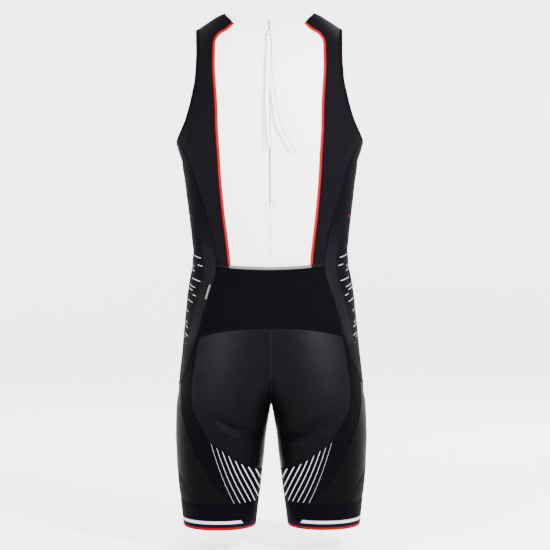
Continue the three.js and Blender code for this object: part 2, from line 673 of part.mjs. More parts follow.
function tail(name, rows) {
  const frames = tailPoints(rows);
  const shares = [-0.5, 0, 0.5];
  const edge = ({ point, across, out }, share, side) =>
    point.clone().addScaledVector(across, share * RIBBON).addScaledVector(out, (side * RIBBON_WALL) / 2);
  const layer = (side) => frames.map((frame) => shares.map((share) => edge(frame, share, side)));
  add(name, wall(layer(1), layer(-1), false), "white");
}

function ribbon() {
  tail("ribbon_tail_left", TAIL_LEFT);
  tail("ribbon_tail_right", TAIL_RIGHT);
}

backPieces();
pocket();
zip();
ribbon();
frontPieces();
sidePieces();
seatAndLegs();
cuffs();
bindings();

export default suit;
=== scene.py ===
"""A sleeveless triathlon suit with a rear zip, filled out as it is worn, seen from the back.

The form is worked out in millimetres: +Z is up, the back faces +Y and +X is the wearer's left. A place on
it is a turn and a height. The turn is an angle round the body or leg: 0 at the outer side, 90 in the middle
of the back, 180 at the inside of a leg and below zero on the front. The height is the level down to the
hem, and above the arch it goes on over the shoulder, up to 0 on the shoulder ridge.
"""

import math

import bmesh
import bpy
import numpy as np
from mathutils import Matrix, Vector


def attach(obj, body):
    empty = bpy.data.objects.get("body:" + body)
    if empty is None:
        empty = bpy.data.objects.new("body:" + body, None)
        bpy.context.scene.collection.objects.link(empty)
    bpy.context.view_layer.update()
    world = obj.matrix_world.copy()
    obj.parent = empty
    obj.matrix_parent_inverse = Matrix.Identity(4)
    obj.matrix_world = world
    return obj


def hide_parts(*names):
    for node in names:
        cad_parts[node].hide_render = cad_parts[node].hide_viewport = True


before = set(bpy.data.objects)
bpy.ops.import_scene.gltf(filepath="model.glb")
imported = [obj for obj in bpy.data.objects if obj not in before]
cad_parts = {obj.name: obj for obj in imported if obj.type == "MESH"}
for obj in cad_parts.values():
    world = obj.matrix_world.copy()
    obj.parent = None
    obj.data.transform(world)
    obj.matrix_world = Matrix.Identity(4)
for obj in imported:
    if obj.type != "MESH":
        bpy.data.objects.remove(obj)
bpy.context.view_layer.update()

MM = 0.001

# Driving sizes of the suit, in millimetres
CLOTH = 1.0  # wall of a panel
SEAM_GAP = 0.08
VALLEY = 0.55  # how far the cloth goes down into a seam
VALLEY_REACH = 0.9  # and how far from the seam that begins
ARCH_START = -125
NECK_HALF = 85
RIDGE_SLOPE = 0.68
RIDGE_ROUND = 12
CROTCH = -719
SEAT_END = -842
CUFF_SEAM = -895
HEM = -942
HIP_SEAM = -680
FRONT_SEAM = -600
ZIP_END = -353
TRIM_WIDTH = 5
TRIM_RISE = 3.5
CELL_SHARE = 5  # steps of the cloth's grid to one step of a seam
DEGREE = math.pi / 180
TURN = 2 * math.pi
SIDES = (("left", 1.0), ("right", -1.0))
FOLD_STEPS = 14  # straight parts that a fold's arc is worked out in

# Ring of the form at each level: half its width, the centre and the inside of a leg's ring, the depth
# to the back and to the front, and how boxy its outer and its inner half are
RING_COLUMNS = ["level", "outer", "middle", "inner", "back", "front", "square", "hollow"]
RINGS = [
    [0, 150, 0, -150, 92, 80, 2.4, 2.4],
    [-60, 150, 0, -150, 97, 90, 2.4, 2.4],
    [-125, 153, 0, -150, 103, 101, 2.4, 2.4],
    [-165, 161, 0, -150, 104, 108, 2.35, 2.4],
    [-200, 168, 0, -150, 103, 112, 2.3, 2.4],
    [-236, 172, 0, -150, 101, 114, 2.3, 2.4],
    [-270, 164.5, 0, -150, 98, 113, 2.3, 2.4],
    [-307, 158, 0, -150, 93, 110, 2.3, 2.4],
    [-344, 153.5, 0, -150, 87, 108, 2.3, 2.4],
    [-381, 149, 0, -150, 81, 106, 2.3, 2.4],
    [-418, 145, 0, -150, 77, 105, 2.3, 2.5],
    [-446, 144, 0, -150, 76, 105, 2.3, 2.6],
    [-474, 147, 0, -150, 80, 106, 2.3, 2.7],
    [-511, 153, 0, -150, 92, 107, 2.25, 2.8],
    [-548, 157, 0, -150, 105, 107, 2.2, 3],
    [-585, 160.5, 20, -130, 115, 105, 2.2, 3],
    [-622, 164, 44, -86, 120, 102, 2.2, 3],
    [-659, 168, 62, -38, 120, 98, 2.2, 3],
    [-696, 172, 78, -11, 114, 93, 2.2, 3],
    [-719, 174.5, 87, 0, 107, 90, 2.2, 2.9],
    [-751, 176, 91, 6, 96, 87, 2.2, 2.7],
    [-779, 176.5, 93.5, 10.5, 90, 86, 2.15, 2.5],
    [-807, 175.5, 94, 13, 86, 84, 2.1, 2.4],
    [-844, 173.5, 95.5, 17.5, 82, 81, 2.1, 2.3],
    [-881, 170, 95.7, 21.5, 79, 78, 2.1, 2.2],
    [-908, 166.7, 96, 25, 77, 75, 2.1, 2.2],
    [-942, 163, 96, 29, 75, 73, 2.1, 2.2],
]

# Soft troughs and ridges of both halves of the seat: an arc's two ends and middle as distance from the
# middle and level, how far the cloth is pushed out, and half the width
SEAT_FOLDS = [
    [100, -736, 66, -754, 26, -766, -3, 11],
    [98, -752, 66, -770, 28, -781, 2.5, 12],
    [47, -698, 61, -715, 74, -735, 2, 12],
]


def smooth(places, values, at):
    """A smooth curve through the values at rising or falling places that never overshoots one."""
    places = np.asarray(places, float)
    values = np.asarray(values, float)
    if places[-1] < places[0]:
        places, values = places[::-1], values[::-1]
    gaps = np.diff(places)
    slopes = np.diff(values) / gaps
    before, after = slopes[:-1], slopes[1:]
    same = before * after > 0
    inner = np.where(same, 2 * before * after / np.where(same, before + after, 1), 0)
    tangents = np.concatenate([slopes[:1], inner, slopes[-1:]])
    at = np.clip(at, places[0], places[-1])
    i = np.clip(np.searchsorted(places, at, side="right") - 1, 0, len(gaps) - 1)
    t = (at - places[i]) / gaps[i]
    start = (1 + 2 * t) * (1 - t) ** 2 * values[i] + t * (1 - t) ** 2 * gaps[i] * tangents[i]
    end = t * t * (3 - 2 * t) * values[i + 1] + t * t * (t - 1) * gaps[i] * tangents[i + 1]
    return start + end


def ring_at(level):
    """The ring's values at one or many levels, by column name."""
    rows = np.array(RINGS, float)
    found = {"level": level}
    for column, name in enumerate(RING_COLUMNS[1:], start=1):
        found[name] = smooth(rows[:, 0], rows[:, column], level)
    return found


def ridge(x):
    """Level of the shoulder ridge at a distance from the middle."""
    past = np.abs(x) - NECK_HALF
    return -RIDGE_SLOPE * (past + np.hypot(past, RIDGE_ROUND) - RIDGE_ROUND) / 2


def arch_angle(height):
    """How far round the arch over the shoulder a height is: 0 below it and a quarter turn on the ridge."""
    return np.where(height > ARCH_START, (1 - height / ARCH_START) * math.pi / 2, 0)


def level_of(height):
    """The level whose ring a height is measured on."""
    return np.where(height > ARCH_START, ARCH_START * (1 - np.sin(arch_angle(height))), height)


def middle_turn(level):
    """The turn at which the left half reaches the middle plane, or 180 on a leg."""
    ring = ring_at(level)
    reach = np.maximum(ring["middle"] - ring["inner"], 1e-6)
    share = np.clip(ring["middle"] / reach, 0, 1)
    return 90 + np.arcsin(share ** (ring["hollow"] / 2)) / DEGREE


def form(turn, height):
    """Points of the left half's form, with no folds."""
    turn, height = np.broadcast_arrays(np.asarray(turn, float), np.asarray(height, float))
    around = (turn + 180) % 360 - 180
    around = np.where((around == -180) & (turn > 0), 180, around)
    arch = arch_angle(height)
    ring = ring_at(level_of(height))
    away = np.abs(around)
    outer_half = away <= 90
    angle = np.where(outer_half, away, away - 90) * DEGREE
    power = 2 / np.where(outer_half, ring["square"], ring["hollow"])
    sine = np.clip(np.sin(angle), 0, None) ** power
    cosine = np.clip(np.cos(angle), 0, None) ** power
    outside = ring["middle"] + (ring["outer"] - ring["middle"]) * cosine
    inside = ring["middle"] - (ring["middle"] - ring["inner"]) * sine
    x = np.where(outer_half, outside, inside)
    depth = np.where(around >= 0, ring["back"], -ring["front"])
    arched = ARCH_START + (ridge(x) - ARCH_START) * np.sin(arch)
    z = np.where(height > ARCH_START, arched, height)
    return np.stack([x, depth * np.where(outer_half, sine, cosine) * np.cos(arch), z], axis=-1)


def unit(vectors):
    return vectors / np.maximum(np.linalg.norm(vectors, axis=-1, keepdims=True), 1e-9)


def length_along(points):
    """How far each of a row of points is from the first, along the row."""
    return np.concatenate([[0], np.cumsum(np.linalg.norm(np.diff(points, axis=0), axis=1))])


def at_lengths(wanted, along, values):
    """A row's points or normals at the wanted distances along it."""
    return np.stack([np.interp(wanted, along, values[:, k]) for k in range(3)], axis=1)


def form_normal(turn, height):
    """Which way the form faces at each place."""
    step = 0.5
    across = form(turn + step, height) - form(turn - step, height)
    up = form(turn, height + step) - form(turn, height - step)
    return unit(np.cross(across, up))


def arc_distance(a, b, arc):
    """How far places (a, b) are from a fold's arc, and how far along it the nearest point is."""
    a1, b1, a2, b2, a3, b3 = arc[:6]
    t = np.linspace(0, 1, FOLD_STEPS + 1)
    first, second, third = (1 - t) * (1 - 2 * t), 4 * t * (1 - t), t * (2 * t - 1)
    across = first * a1 + second * a2 + third * a3
    up = first * b1 + second * b2 + third * b3
    near = np.full(np.shape(a), np.inf)
    along = np.zeros(np.shape(a))
    for i in range(FOLD_STEPS):
        da, db = across[i + 1] - across[i], up[i + 1] - up[i]
        share = np.clip(((a - across[i]) * da + (b - up[i]) * db) / (da * da + db * db), 0, 1)
        gap = np.hypot(a - across[i] - share * da, b - up[i] - share * db)
        along = np.where(gap < near, (i + share) / FOLD_STEPS, along)
        near = np.minimum(near, gap)
    return near, along


def form_with_seat(turn, height):
    """The left half's form with the folds of the seat, as the frame's solids have it."""
    points = form(turn, height)
    push = np.zeros(points.shape[:-1])
    for fold in SEAT_FOLDS:
        near, _ = arc_distance(points[..., 0], points[..., 2], fold)
        push += fold[6] * np.exp(-((near / fold[7]) ** 2))
    push = np.where(np.asarray(turn) > 0, push, 0)
    return points + push[..., None] * form_normal(turn, height)


def mark(x, z):
    """Turn and height of the place on the back at a distance from the middle and a level."""
    sine = (z - ARCH_START) / (ridge(x) - ARCH_START)
    arch = math.asin(min(1.0, max(0.0, sine)))
    height = ARCH_START * (1 - arch / (math.pi / 2)) if sine > 0 else z
    ring = ring_at(level_of(np.array(float(height))))
    outer_half = x >= ring["middle"]
    reach = ring["outer"] - ring["middle"] if outer_half else ring["middle"] - ring["inner"]
    share = min(1.0, abs(x - ring["middle"]) / reach)
    if outer_half:
        turn = math.acos(share ** (ring["square"] / 2)) / DEGREE
    else:
        turn = 90 + math.asin(share ** (ring["hollow"] / 2)) / DEGREE
    return [turn, height]


class Seam:
    """A run of marks along a seam, a row of turn and height each, cut finer than the frame's solids."""

    def __init__(self, marks):
        self.marks = np.array(marks, float)

    def __add__(self, other):
        return Seam(np.vstack([self.marks, other.marks[1:]]))

    def back(self):
        return Seam(self.marks[::-1])

    def front(self):
        return Seam(self.marks * [-1, 1])


def run(marks, steps):
    """A seam of equal steps on a smooth curve through a few marks."""
    marks = np.array(marks, float)
    points = form_with_seat(marks[:, 0], marks[:, 1])
    along = length_along(points)
    at = np.linspace(0, along[-1], steps * CELL_SHARE + 1)
    return Seam(np.stack([smooth(along, marks[:, 0], at), smooth(along, marks[:, 1], at)], axis=1))


def back_seam(places, steps):
    return run([mark(x, z) for x, z in places], steps)


def centre_line(start, end, steps, face=1, eased=False):
    share = np.linspace(0, 1, steps * CELL_SHARE + 1)
    if eased:
        share = np.sin(share * math.pi / 2)
    height = start + (end - start) * share
    return Seam(np.stack([face * middle_turn(level_of(height)), height], axis=1))


def straight(start, end, steps):
    """A seam of equal steps in turn and height from one mark to another."""
    share = np.linspace(0, 1, steps * CELL_SHARE + 1)[:, None]
    return Seam(np.array(start, float) * (1 - share) + np.array(end, float) * share)


def patch(top, bottom, left, right):
    """Marks between four seams: top and bottom run the same way, and so do left and right."""
    top, bottom, left, right = (seam.marks for seam in (top, bottom, left, right))
    s = np.linspace(0, 1, len(top))[None, :, None]
    t = np.linspace(0, 1, len(left))[:, None, None]
    sides = (1 - t) * top[None] + t * bottom[None] + (1 - s) * left[:, None] + s * right[:, None]
    near = (1 - t) * ((1 - s) * top[0] + s * top[-1])
    far = t * ((1 - s) * bottom[0] + s * bottom[-1])
    return sides - near - far


# Seams of the left half. A place is a distance from the middle and a level on the back, or a turn and a
# height, and the number is how many steps the seam is cut into.
BINDING_FOOT = [16, -234]  # where the side panel's seams meet the armhole's binding
ARM_SIDE_EDGE = [[13, -229], [20, -217], [26, -198], [29.5, -165], [30.5, -125], [30, -85], [29.2, -58]]
ARM_SIDE_INNER = [BINDING_FOOT, [23.5, -222], [29.8, -200], [33.4, -165], [34.6, -125], [34.2, -85]]
ARM_SIDE_INNER.append([33.4, -58])
arm_edge = run([[0, -236], [7, -234.4], [13, -229]], 3) + run(ARM_SIDE_EDGE, 6)
arm_edge = arm_edge + run([[29.2, -58], [28.6, -40], [27.2, 0]], 5)
arm_bottom_inner = run([[0, -243], [9, -240.5], BINDING_FOOT], 3)
arm_side_inner = run(ARM_SIDE_INNER, 6) + run([[33.4, -58], [32.8, -40], [31.2, 0]], 5)

neck_turn = mark(NECK_HALF, float(ridge(NECK_HALF)))[0]
ridge_seam = run([[neck_turn, 0], [31.2, 0]], 4)
neck_back = back_seam([[0, -20.5], [24, -19.5], [46, -16.5], [60, -12.5], [74, -7], [NECK_HALF, 0]], 5)
neck_back_inner = back_seam([[0, -30], [24, -29], [46, -26], [60, -21.5], [71, -14.5], [78, -9]], 5)
neck_front = run([[-90, -92], [-82, -90], [-73, -78], [-66, -54], [-61, -24], [-neck_turn, 0]], 9)
shoulder_point = list(ridge_seam.marks[CELL_SHARE])
neck_front_inner = run(
    [[-90, -99], [-81, -96.5], [-71, -82], [-63.5, -55], [-58, -24], [-shoulder_point[0], 0]], 9
)

TRIM_TOP = [[63, -28], [76, -41], [88, -48], [97.5, -57]]
TRIM_CHEST = [[97.5, -57], [97.5, -97], [96, -134], [93.5, -170], [91, -238]]
TRIM_WAIST = [[91, -238], [87, -313], [84, -349], [80.5, -384], [76, -420], [71.5, -468], [66, -578.5]]


def outside_trim(place):
    x, z = place
    return [x + TRIM_WIDTH, z + TRIM_RISE if z > TRIM_CHEST[1][1] else z]


def rounded(seam, corner, before, after):
    """The seam with one corner rounded over a few of its marks on each side."""
    marks = seam.marks.copy()
    t = np.linspace(0, 1, before + after + 1)[:, None]
    start, middle, end = (marks[k] for k in (corner - before, corner, corner + after))
    curve = (1 - t) ** 2 * start + 2 * t * (1 - t) * middle + t * t * end
    marks[corner - before : corner + after + 1] = curve
    return Seam(marks)


TRIM_CORNER = 3 * CELL_SHARE
trim_inner = back_seam(TRIM_TOP, 3) + back_seam(TRIM_CHEST, 6) + back_seam(TRIM_WAIST, 12)
trim_inner = rounded(trim_inner, TRIM_CORNER, 4, 2)
trim_outer = (
    back_seam([[66, -24.2], *map(outside_trim, TRIM_TOP[1:])], 3)
    + back_seam([outside_trim(place) for place in TRIM_CHEST], 6)
    + back_seam([outside_trim(place) for place in TRIM_WAIST], 12)
)
trim_outer = rounded(trim_outer, TRIM_CORNER, 5, 3)

SIDE_SEAM = [[145, -280], [131, -326], [118, -365], [107.5, -402.6], [100.5, -438], [97, -464]]
side_seam_upper = run([BINDING_FOOT, *[mark(x, z) for x, z in SIDE_SEAM]], 7)
pocket_side = back_seam([[97, -464], [98.5, -483], [106, -504], [115, -531], [122.5, -556], [133, -594]], 5)
hip_side = back_seam([[133, -594], [142, -625], [153, -652], [162, -675]], 4)

seat_top = back_seam([[0, -576], [47, -577.5], [66, -578.5]], 5)
seat_top_side = back_seam([[66 + TRIM_WIDTH, -578.5], [93, -583.5], [129, -592.5]], 3)
strip_top = back_seam([[129, -592.5], [133, -594]], 5)
back_side_foot = back_seam([[66 + TRIM_WIDTH, -578.5], [93, -583.5], [129, -592.5], [133, -594]], 4)

ZIP_SLIT = 0.9  # between the two edges of cloth over the zip


def zip_side(turn, height):
    """A place of the middle line moved to the edge of the zip's slit."""
    if height < ZIP_END:
        return [turn, height]
    return mark(ZIP_SLIT / 2, float(form(turn, height)[2]))


neck_middle = mark(0, -30)[1]
pull_middle = mark(0, -72)[1]
back_middle = centre_line(neck_middle, pull_middle, 4) + centre_line(pull_middle, -576, 18)
zip_edge = Seam([zip_side(*place) for place in back_middle.marks])
seat_middle = centre_line(-576, CROTCH, 9, 1, True)
front_middle = centre_line(-99, FRONT_SEAM, 23, -1)
front_rise = centre_line(FRONT_SEAM, CROTCH, 9, -1, True)
inseam_seat = run([[180, CROTCH], [180, -760], [180, SEAT_END]], 6)
inseam_back = run([[180, SEAT_END], [180, CUFF_SEAM]], 5)
inseam_front = run([[-180, CROTCH], [-180, -760], [-180, CUFF_SEAM]], 6)

seat_side = back_seam([[129, -592.5], [136.5, -640], [140.5, -668]], 4) + back_seam(
    [[140.5, -668], [142, -690], [141.5, -708], [137, -731], [125, -754], [113, -777]], 11
)
SEAT_LOW = [[113, -777], [89, -796], [64, -815], [39, -828]]
seat_low = run([*[mark(x, z) for x, z in SEAT_LOW], [180, SEAT_END]], 9)
LEG_FOOT = [71, CUFF_SEAM]
LEG_SIDE_FOOT = 48
LEG_CURVE = [[162, -675], [162, -710], [155.6, -750], [142.5, -787], [127, -823], [106.7, -855]]
leg_curve = back_seam([*LEG_CURVE, [81.5, -882.6], LEG_FOOT], 11)
LEG_FRONT = [[-30, HIP_SEAM], [-24, -740], [-10, -800], [3, -828], [30, -855], [44, -874]]
leg_front = run([*LEG_FRONT, [LEG_SIDE_FOOT, CUFF_SEAM]], 11)
hip_top = run([mark(162, -675), [0, -681], [-30, HIP_SEAM]], 6)
side_front_upper = run(
    [[-BINDING_FOOT[0], BINDING_FOOT[1]], [-24, -290], [-36, -400], [-42, -470], [-38, FRONT_SEAM]], 12
)
side_front_lower = run([[-38, FRONT_SEAM], [-30, HIP_SEAM]], 4)
front_middle_turn = -float(middle_turn(FRONT_SEAM))
front_top_legs = run([[front_middle_turn, FRONT_SEAM], [-90, FRONT_SEAM], [-38, FRONT_SEAM]], 12)
cuff_back = run([mark(*LEG_FOOT), [180, CUFF_SEAM]], 9)
cuff_outer = run([mark(*LEG_FOOT), [LEG_SIDE_FOOT, CUFF_SEAM]], 6)
cuff_front = run([[-180, CUFF_SEAM], [-90, CUFF_SEAM], [0, CUFF_SEAM], [LEG_SIDE_FOOT, CUFF_SEAM]], 12)


# Creases: the face they lie on, an arc of three places across and up that face (from the
# middle to the wearer's left on the back and front, and from the middle to the back on the sides), how
# far they push the cloth out, and half their width
CREASES = [
    ["back", 14, -70, 33, -165, 62, -262, -1.7, 15],
    ["back", 30, -62, 52, -150, 80, -225, 1.1, 16],
    ["back", -9, -33, -12, -42, -15, -54, -0.7, 3.5],
    ["back", -16, -32, -19, -44, -20, -60, 0.6, 4],
    ["back", -26, -210, -38, -260, -60, -320, -0.9, 14],
    ["back", 8, -400, 34, -412, 66, -408, -0.9, 9],
    ["back", -12, -428, -40, -436, -74, -428, -0.8, 8],
    ["back", 112, -262, 124, -246, 146, -240, -1.6, 8],
    ["back", -108, -272, -126, -250, -148, -244, -1.9, 9],
    ["back", -100, -300, -124, -276, -146, -268, 1.2, 9],
    ["back", 104, -734, 70, -757, 22, -770, -4.2, 6],
    ["back", -104, -735, -70, -758, -22, -769, -4.0, 6],
    ["back", 102, -748, 68, -772, 26, -785, 2.4, 6],
    ["back", -102, -749, -66, -773, -24, -784, 2.6, 6],
    ["back", 88, -768, 60, -790, 26, -800, -1.2, 6],
    ["back", -88, -768, -60, -790, -26, -800, -1.4, 6],
    ["back", 47, -697, 62, -712, 75, -737, -0.9, 4],
    ["back", -49, -696, -66, -714, -75, -737, -1.1, 4],
    ["back", 6, -716, 18, -700, 34, -690, -1.0, 4],
    ["back", -6, -716, -20, -702, -37, -693, -1.0, 4],
    ["back", 8, -610, 20, -602, 40, -600, -0.6, 6],
    ["back", 56, -884, 84, -889, 118, -885, -0.8, 5],
    ["back", -60, -886, -90, -890, -124, -884, -0.8, 5],
    ["back", 132, -650, 136, -700, 132, -742, 0.9, 9],
    ["back", -132, -650, -137, -705, -130, -748, 0.9, 9],
    ["front", 148, -226, 120, -250, 96, -262, -2.2, 10],
    ["front", -148, -226, -122, -246, -90, -256, -2.0, 10],
    ["front", 136, -262, 112, -284, 92, -290, -1.2, 9],
    ["front", -136, -258, -116, -280, -94, -288, -1.4, 9],
    ["front", 92, -20, 104, -70, 124, -120, -1.2, 9],
    ["front", -92, -20, -106, -74, -126, -118, -1.3, 9],
    ["front", 96, -438, 50, -446, 8, -440, -1.4, 10],
    ["front", -100, -430, -60, -440, -24, -436, -1.2, 9],
    ["front", 70, -468, 24, -478, -20, -472, -1.0, 9],
    ["front", 118, -628, 70, -662, 22, -692, -2.6, 9],
    ["front", -118, -632, -72, -664, -22, -694, -2.5, 9],
    ["front", 100, -660, 66, -686, 30, -706, -1.4, 7],
    ["front", -104, -658, -68, -684, -30, -708, -1.5, 7],
    ["front", 20, -712, 34, -730, 40, -756, -1.3, 6],
    ["front", -20, -712, -34, -732, -42, -758, -1.2, 6],
    ["front", 60, -884, 92, -890, 128, -884, -0.9, 6],
    ["front", -62, -886, -96, -889, -130, -885, -0.9, 6],
    ["left", -40, -268, -10, -276, 30, -266, -1.4, 9],
    ["left", -56, -430, -16, -440, 30, -428, -1.6, 10],
    ["left", -40, -462, 0, -470, 36, -460, -1.1, 9],
    ["left", -60, -660, -10, -690, 44, -700, -1.2, 12],
    ["left", -40, -884, 0, -889, 40, -883, -0.8, 6],
    ["right", -40, -262, -6, -274, 34, -268, -1.6, 9],
    ["right", -60, -424, -20, -436, 34, -432, -1.5, 10],
    ["right", -30, -456, 4, -466, 40, -462, -1.2, 9],
    ["right", -60, -664, -14, -688, 40, -704, -1.3, 12],
    ["right", -44, -886, 0, -890, 44, -884, -0.8, 6],
]
FACES = {"back": [0, 1, 0], "front": [0, -1, 0], "left": [1, 0, 0], "right": [-1, 0, 0]}
ZIP_BAND = 11.5  # half the width of the cloth that is doubled over the zip
ZIP_RAISE = 0.55


def creased(points, normals):
    """How far the creases and the doubled cloth over the zip push each point out."""
    push = np.zeros(points.shape[:-1])
    for face, *arc, depth, reach in CREASES:
        across = points[..., 0] if face in ("back", "front") else points[..., 1]
        near, along = arc_distance(across, points[..., 2], arc)
        facing = np.clip(normals @ np.array(FACES[face], float) * 1.6, 0, 1)
        taper = np.clip(np.sin(along * math.pi) * 1.7, 0, 1)
        push += facing * taper * depth * np.exp(-((near / reach) ** 2))
    on_back = points[..., 1] > 0
    band = np.clip((ZIP_BAND - np.abs(points[..., 0])) / 1.5 + 0.5, 0, 1)
    length = np.clip((points[..., 2] - ZIP_END) / 6 + 0.5, 0, 1)
    return push + np.where(on_back, band * length * ZIP_RAISE, 0)


def sided(vectors, sides):
    """The left half's vectors turned to the side that each belongs to."""
    turned = vectors.copy()
    turned[..., 0] *= sides
    return turned


def both_halves(marks):
    """A left half's grid carried on to the right half, and the side of each of its columns."""
    whole = np.concatenate([marks[:, :0:-1], marks], axis=1)
    sides = np.ones(whole.shape[:2])
    sides[:, : marks.shape[1] - 1] = -1
    return whole, sides


EDGE_STEPS = [0.0, 0.12, 0.32, 0.62]  # extra rows close to an edge, in steps of the grid


def closer_edges(grid, axis, wrap=False):
    """The grid with extra rows of marks close to its two edges along an axis."""
    if wrap:
        return grid
    grid = np.moveaxis(grid, axis, 0)
    start = [grid[0] + (grid[1] - grid[0]) * share for share in EDGE_STEPS]
    end = [grid[-1] + (grid[-2] - grid[-1]) * share for share in reversed(EDGE_STEPS)]
    return np.moveaxis(np.concatenate([start, grid[1:-1], end]), 0, axis)


def span(points, axis):
    """Distance along the grid's rows or columns from its first edge."""
    points = np.moveaxis(points, axis, 0)
    steps = np.linalg.norm(np.diff(points, axis=0), axis=-1)
    total = np.concatenate([np.zeros((1,) + steps.shape[1:]), np.cumsum(steps, axis=0)])
    return np.moveaxis(total, 0, axis)


def moved_in(points, normals, gap, wrap):
    """The points with the outermost rows moved in from their seams."""
    moved = points.copy()
    for axis, last in ((0, False), (0, True), (1, False), (1, True)):
        if axis == 1 and wrap:
            continue
        own = np.moveaxis(points, axis, 0)
        target = np.moveaxis(moved, axis, 0)
        facing = np.moveaxis(normals, axis, 0)
        edge, inside = (own[-1], own[-2]) if last else (own[0], own[1])
        along = unit(np.gradient(edge, axis=0))
        inward = unit(np.cross(facing[-1 if last else 0], along))
        side = np.sign(np.sum(inward * (inside - edge), axis=-1, keepdims=True))
        target[-1 if last else 0] += inward * side * gap
    return moved


class Cloth:
    """A grid of cloth laid on the form, with its outer face and each point's distance to the edges."""

    def __init__(self, marks, sides=1.0, lift=0.0, wrap=False, gap=SEAM_GAP / 2):
        half = not np.ndim(sides)
        marks = closer_edges(closer_edges(marks, 0), 1, wrap)
        if np.ndim(sides):
            sides = closer_edges(closer_edges(sides, 0), 1, wrap)
        sides = np.broadcast_to(np.sign(sides), marks.shape[:2])
        turn, height = marks[..., 0], marks[..., 1]
        self.normals = sided(form_normal(turn, height), sides)
        points = sided(form_with_seat(turn, height), sides)
        on_middle = (np.abs(points[..., 0]) < 0.001) & half
        points = moved_in(points, self.normals, gap, wrap)
        self.across = span(points, 1)
        self.down = span(points, 0)
        ends = [self.down, self.down[-1:] - self.down]
        if not wrap:
            ends += [self.across, self.across[:, -1:] - self.across]
        self.edge = np.min(np.broadcast_arrays(*ends), axis=0)
        rows, columns = np.indices(marks.shape[:2])
        if callable(lift):
            lift = lift(columns / (marks.shape[1] - 1), rows / (marks.shape[0] - 1))
        valley = VALLEY * np.exp(-((self.edge / VALLEY_REACH) ** 2))
        push = creased(points, self.normals) + lift - valley
        self.outer = points + push[..., None] * self.normals
        self.outer[on_middle, 0] = gap * sides[on_middle]  # halves that meet stay together in the middle
        self.wrap = wrap


def surface_place(marks, side=1.0, lift=0.0):
    """Points on the creased cloth at single marks, with their normals."""
    marks = np.asarray(marks, float)
    normals = sided(form_normal(marks[..., 0], marks[..., 1]), side)
    points = sided(form_with_seat(marks[..., 0], marks[..., 1]), side)
    push = creased(points, normals) + lift
    return points + push[..., None] * normals, normals


def grid_faces(rows, columns, offset, wrap, turned):
    j, i = np.meshgrid(np.arange(rows - 1), np.arange(columns if wrap else columns - 1), indexing="ij")
    after = (i + 1) % columns
    corners = [j * columns + i, (j + 1) * columns + i, (j + 1) * columns + after, j * columns + after]
    faces = np.stack([c.ravel() for c in corners], axis=1) + offset
    return faces[:, ::-1] if turned else faces


def rim_faces(outer, inner):
    """Faces between the two layers along a closed line of vertex numbers."""
    return np.stack([outer, np.roll(outer, -1), np.roll(inner, -1), inner], axis=1)


CRISP = 55  # an edge that turns more than this many degrees isn't smoothed


def new_mesh(name, points, faces, crisp=0):
    """A shown piece from points in millimetres, which rides with the suit."""
    mesh = bpy.data.meshes.new(name)
    places = (np.asarray(points, float) * MM).tolist()
    mesh.from_pydata(places, [], [list(map(int, face)) for face in faces])
    mesh.validate()
    mesh.update()
    mesh.shade_smooth()
    if crisp:
        mesh.set_sharp_from_angle(angle=crisp * DEGREE)
    piece = bpy.data.objects.new(name, mesh)
    bpy.context.scene.collection.objects.link(piece)
    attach(piece, "root")
    return piece


def volume_of(points, faces):
    a, b, c = (points[faces[:, k]] for k in (0, 1, 2))
    d = points[faces[:, 3]]
    return float(np.sum(a * np.cross(b, c)) + np.sum(a * np.cross(c, d)))


def give_places(piece, across, down, edge):
    """Gives each point its place on its own cloth, as a UV map in metres, and how far the edge is."""
    mesh = piece.data
    corners = np.zeros(len(mesh.loops), int)
    mesh.loops.foreach_get("vertex_index", corners)
    places = np.stack([across, down], axis=-1).reshape(-1, 2) * MM
    layer = mesh.uv_layers.new(name="cloth")
    layer.data.foreach_set("uv", places[corners].astype(np.float32).ravel())
    store = mesh.attributes.new("edge", "FLOAT", "POINT")
    store.data.foreach_set("value", (edge.ravel() * MM).astype(np.float32))


def shell(name, cloth, thick=CLOTH):
    """A closed thin shell of cloth under its outer face."""
    outer = cloth.outer[:, :-1] if cloth.wrap else cloth.outer
    normals = cloth.normals[:, :-1] if cloth.wrap else cloth.normals
    keep = slice(None, -1) if cloth.wrap else slice(None)
    rows, columns = outer.shape[:2]
    inner = outer - normals * thick
    points = np.concatenate([outer.reshape(-1, 3), inner.reshape(-1, 3)])
    size = rows * columns
    faces = [grid_faces(rows, columns, 0, cloth.wrap, False)]
    faces.append(grid_faces(rows, columns, size, cloth.wrap, True))
    numbers = np.arange(size).reshape(rows, columns)
    if cloth.wrap:
        for line in (numbers[0][::-1], numbers[-1]):
            faces.append(rim_faces(line, line + size))
    else:
        around = [numbers[0, ::-1], numbers[1:, 0], numbers[-1, 1:], numbers[-2:0:-1, -1]]
        line = np.concatenate(around)
        faces.append(rim_faces(line, line + size))
    faces = np.concatenate(faces)
    if volume_of(points, faces) < 0:
        faces = faces[:, ::-1]
    piece = new_mesh(name, points, faces, CRISP)
    places = (cloth.across, cloth.down, cloth.edge)
    give_places(piece, *(np.tile(values[:, keep], (2, 1)) for values in places))
    return piece


# A binding's section, from where it meets the panel on the outside, over the free edge and back inside:
# how far across the binding, as a share of its width, and how far out, in millimetres
BINDING_SECTION = [
    [0.0, 0.05], [0.04, 0.5], [0.2, 0.85], [0.45, 0.98], [0.7, 0.95], [0.88, 0.7], [0.98, 0.2],
    [1.0, -0.35], [0.97, -0.95], [0.85, -1.4], [0.5, -1.6], [0.1, -1.5], [0.0, -1.2],
]
BINDING_PUCKER = 0.12  # how unevenly thick it is, as a share
BINDING_WAVES = (9.5, 47)


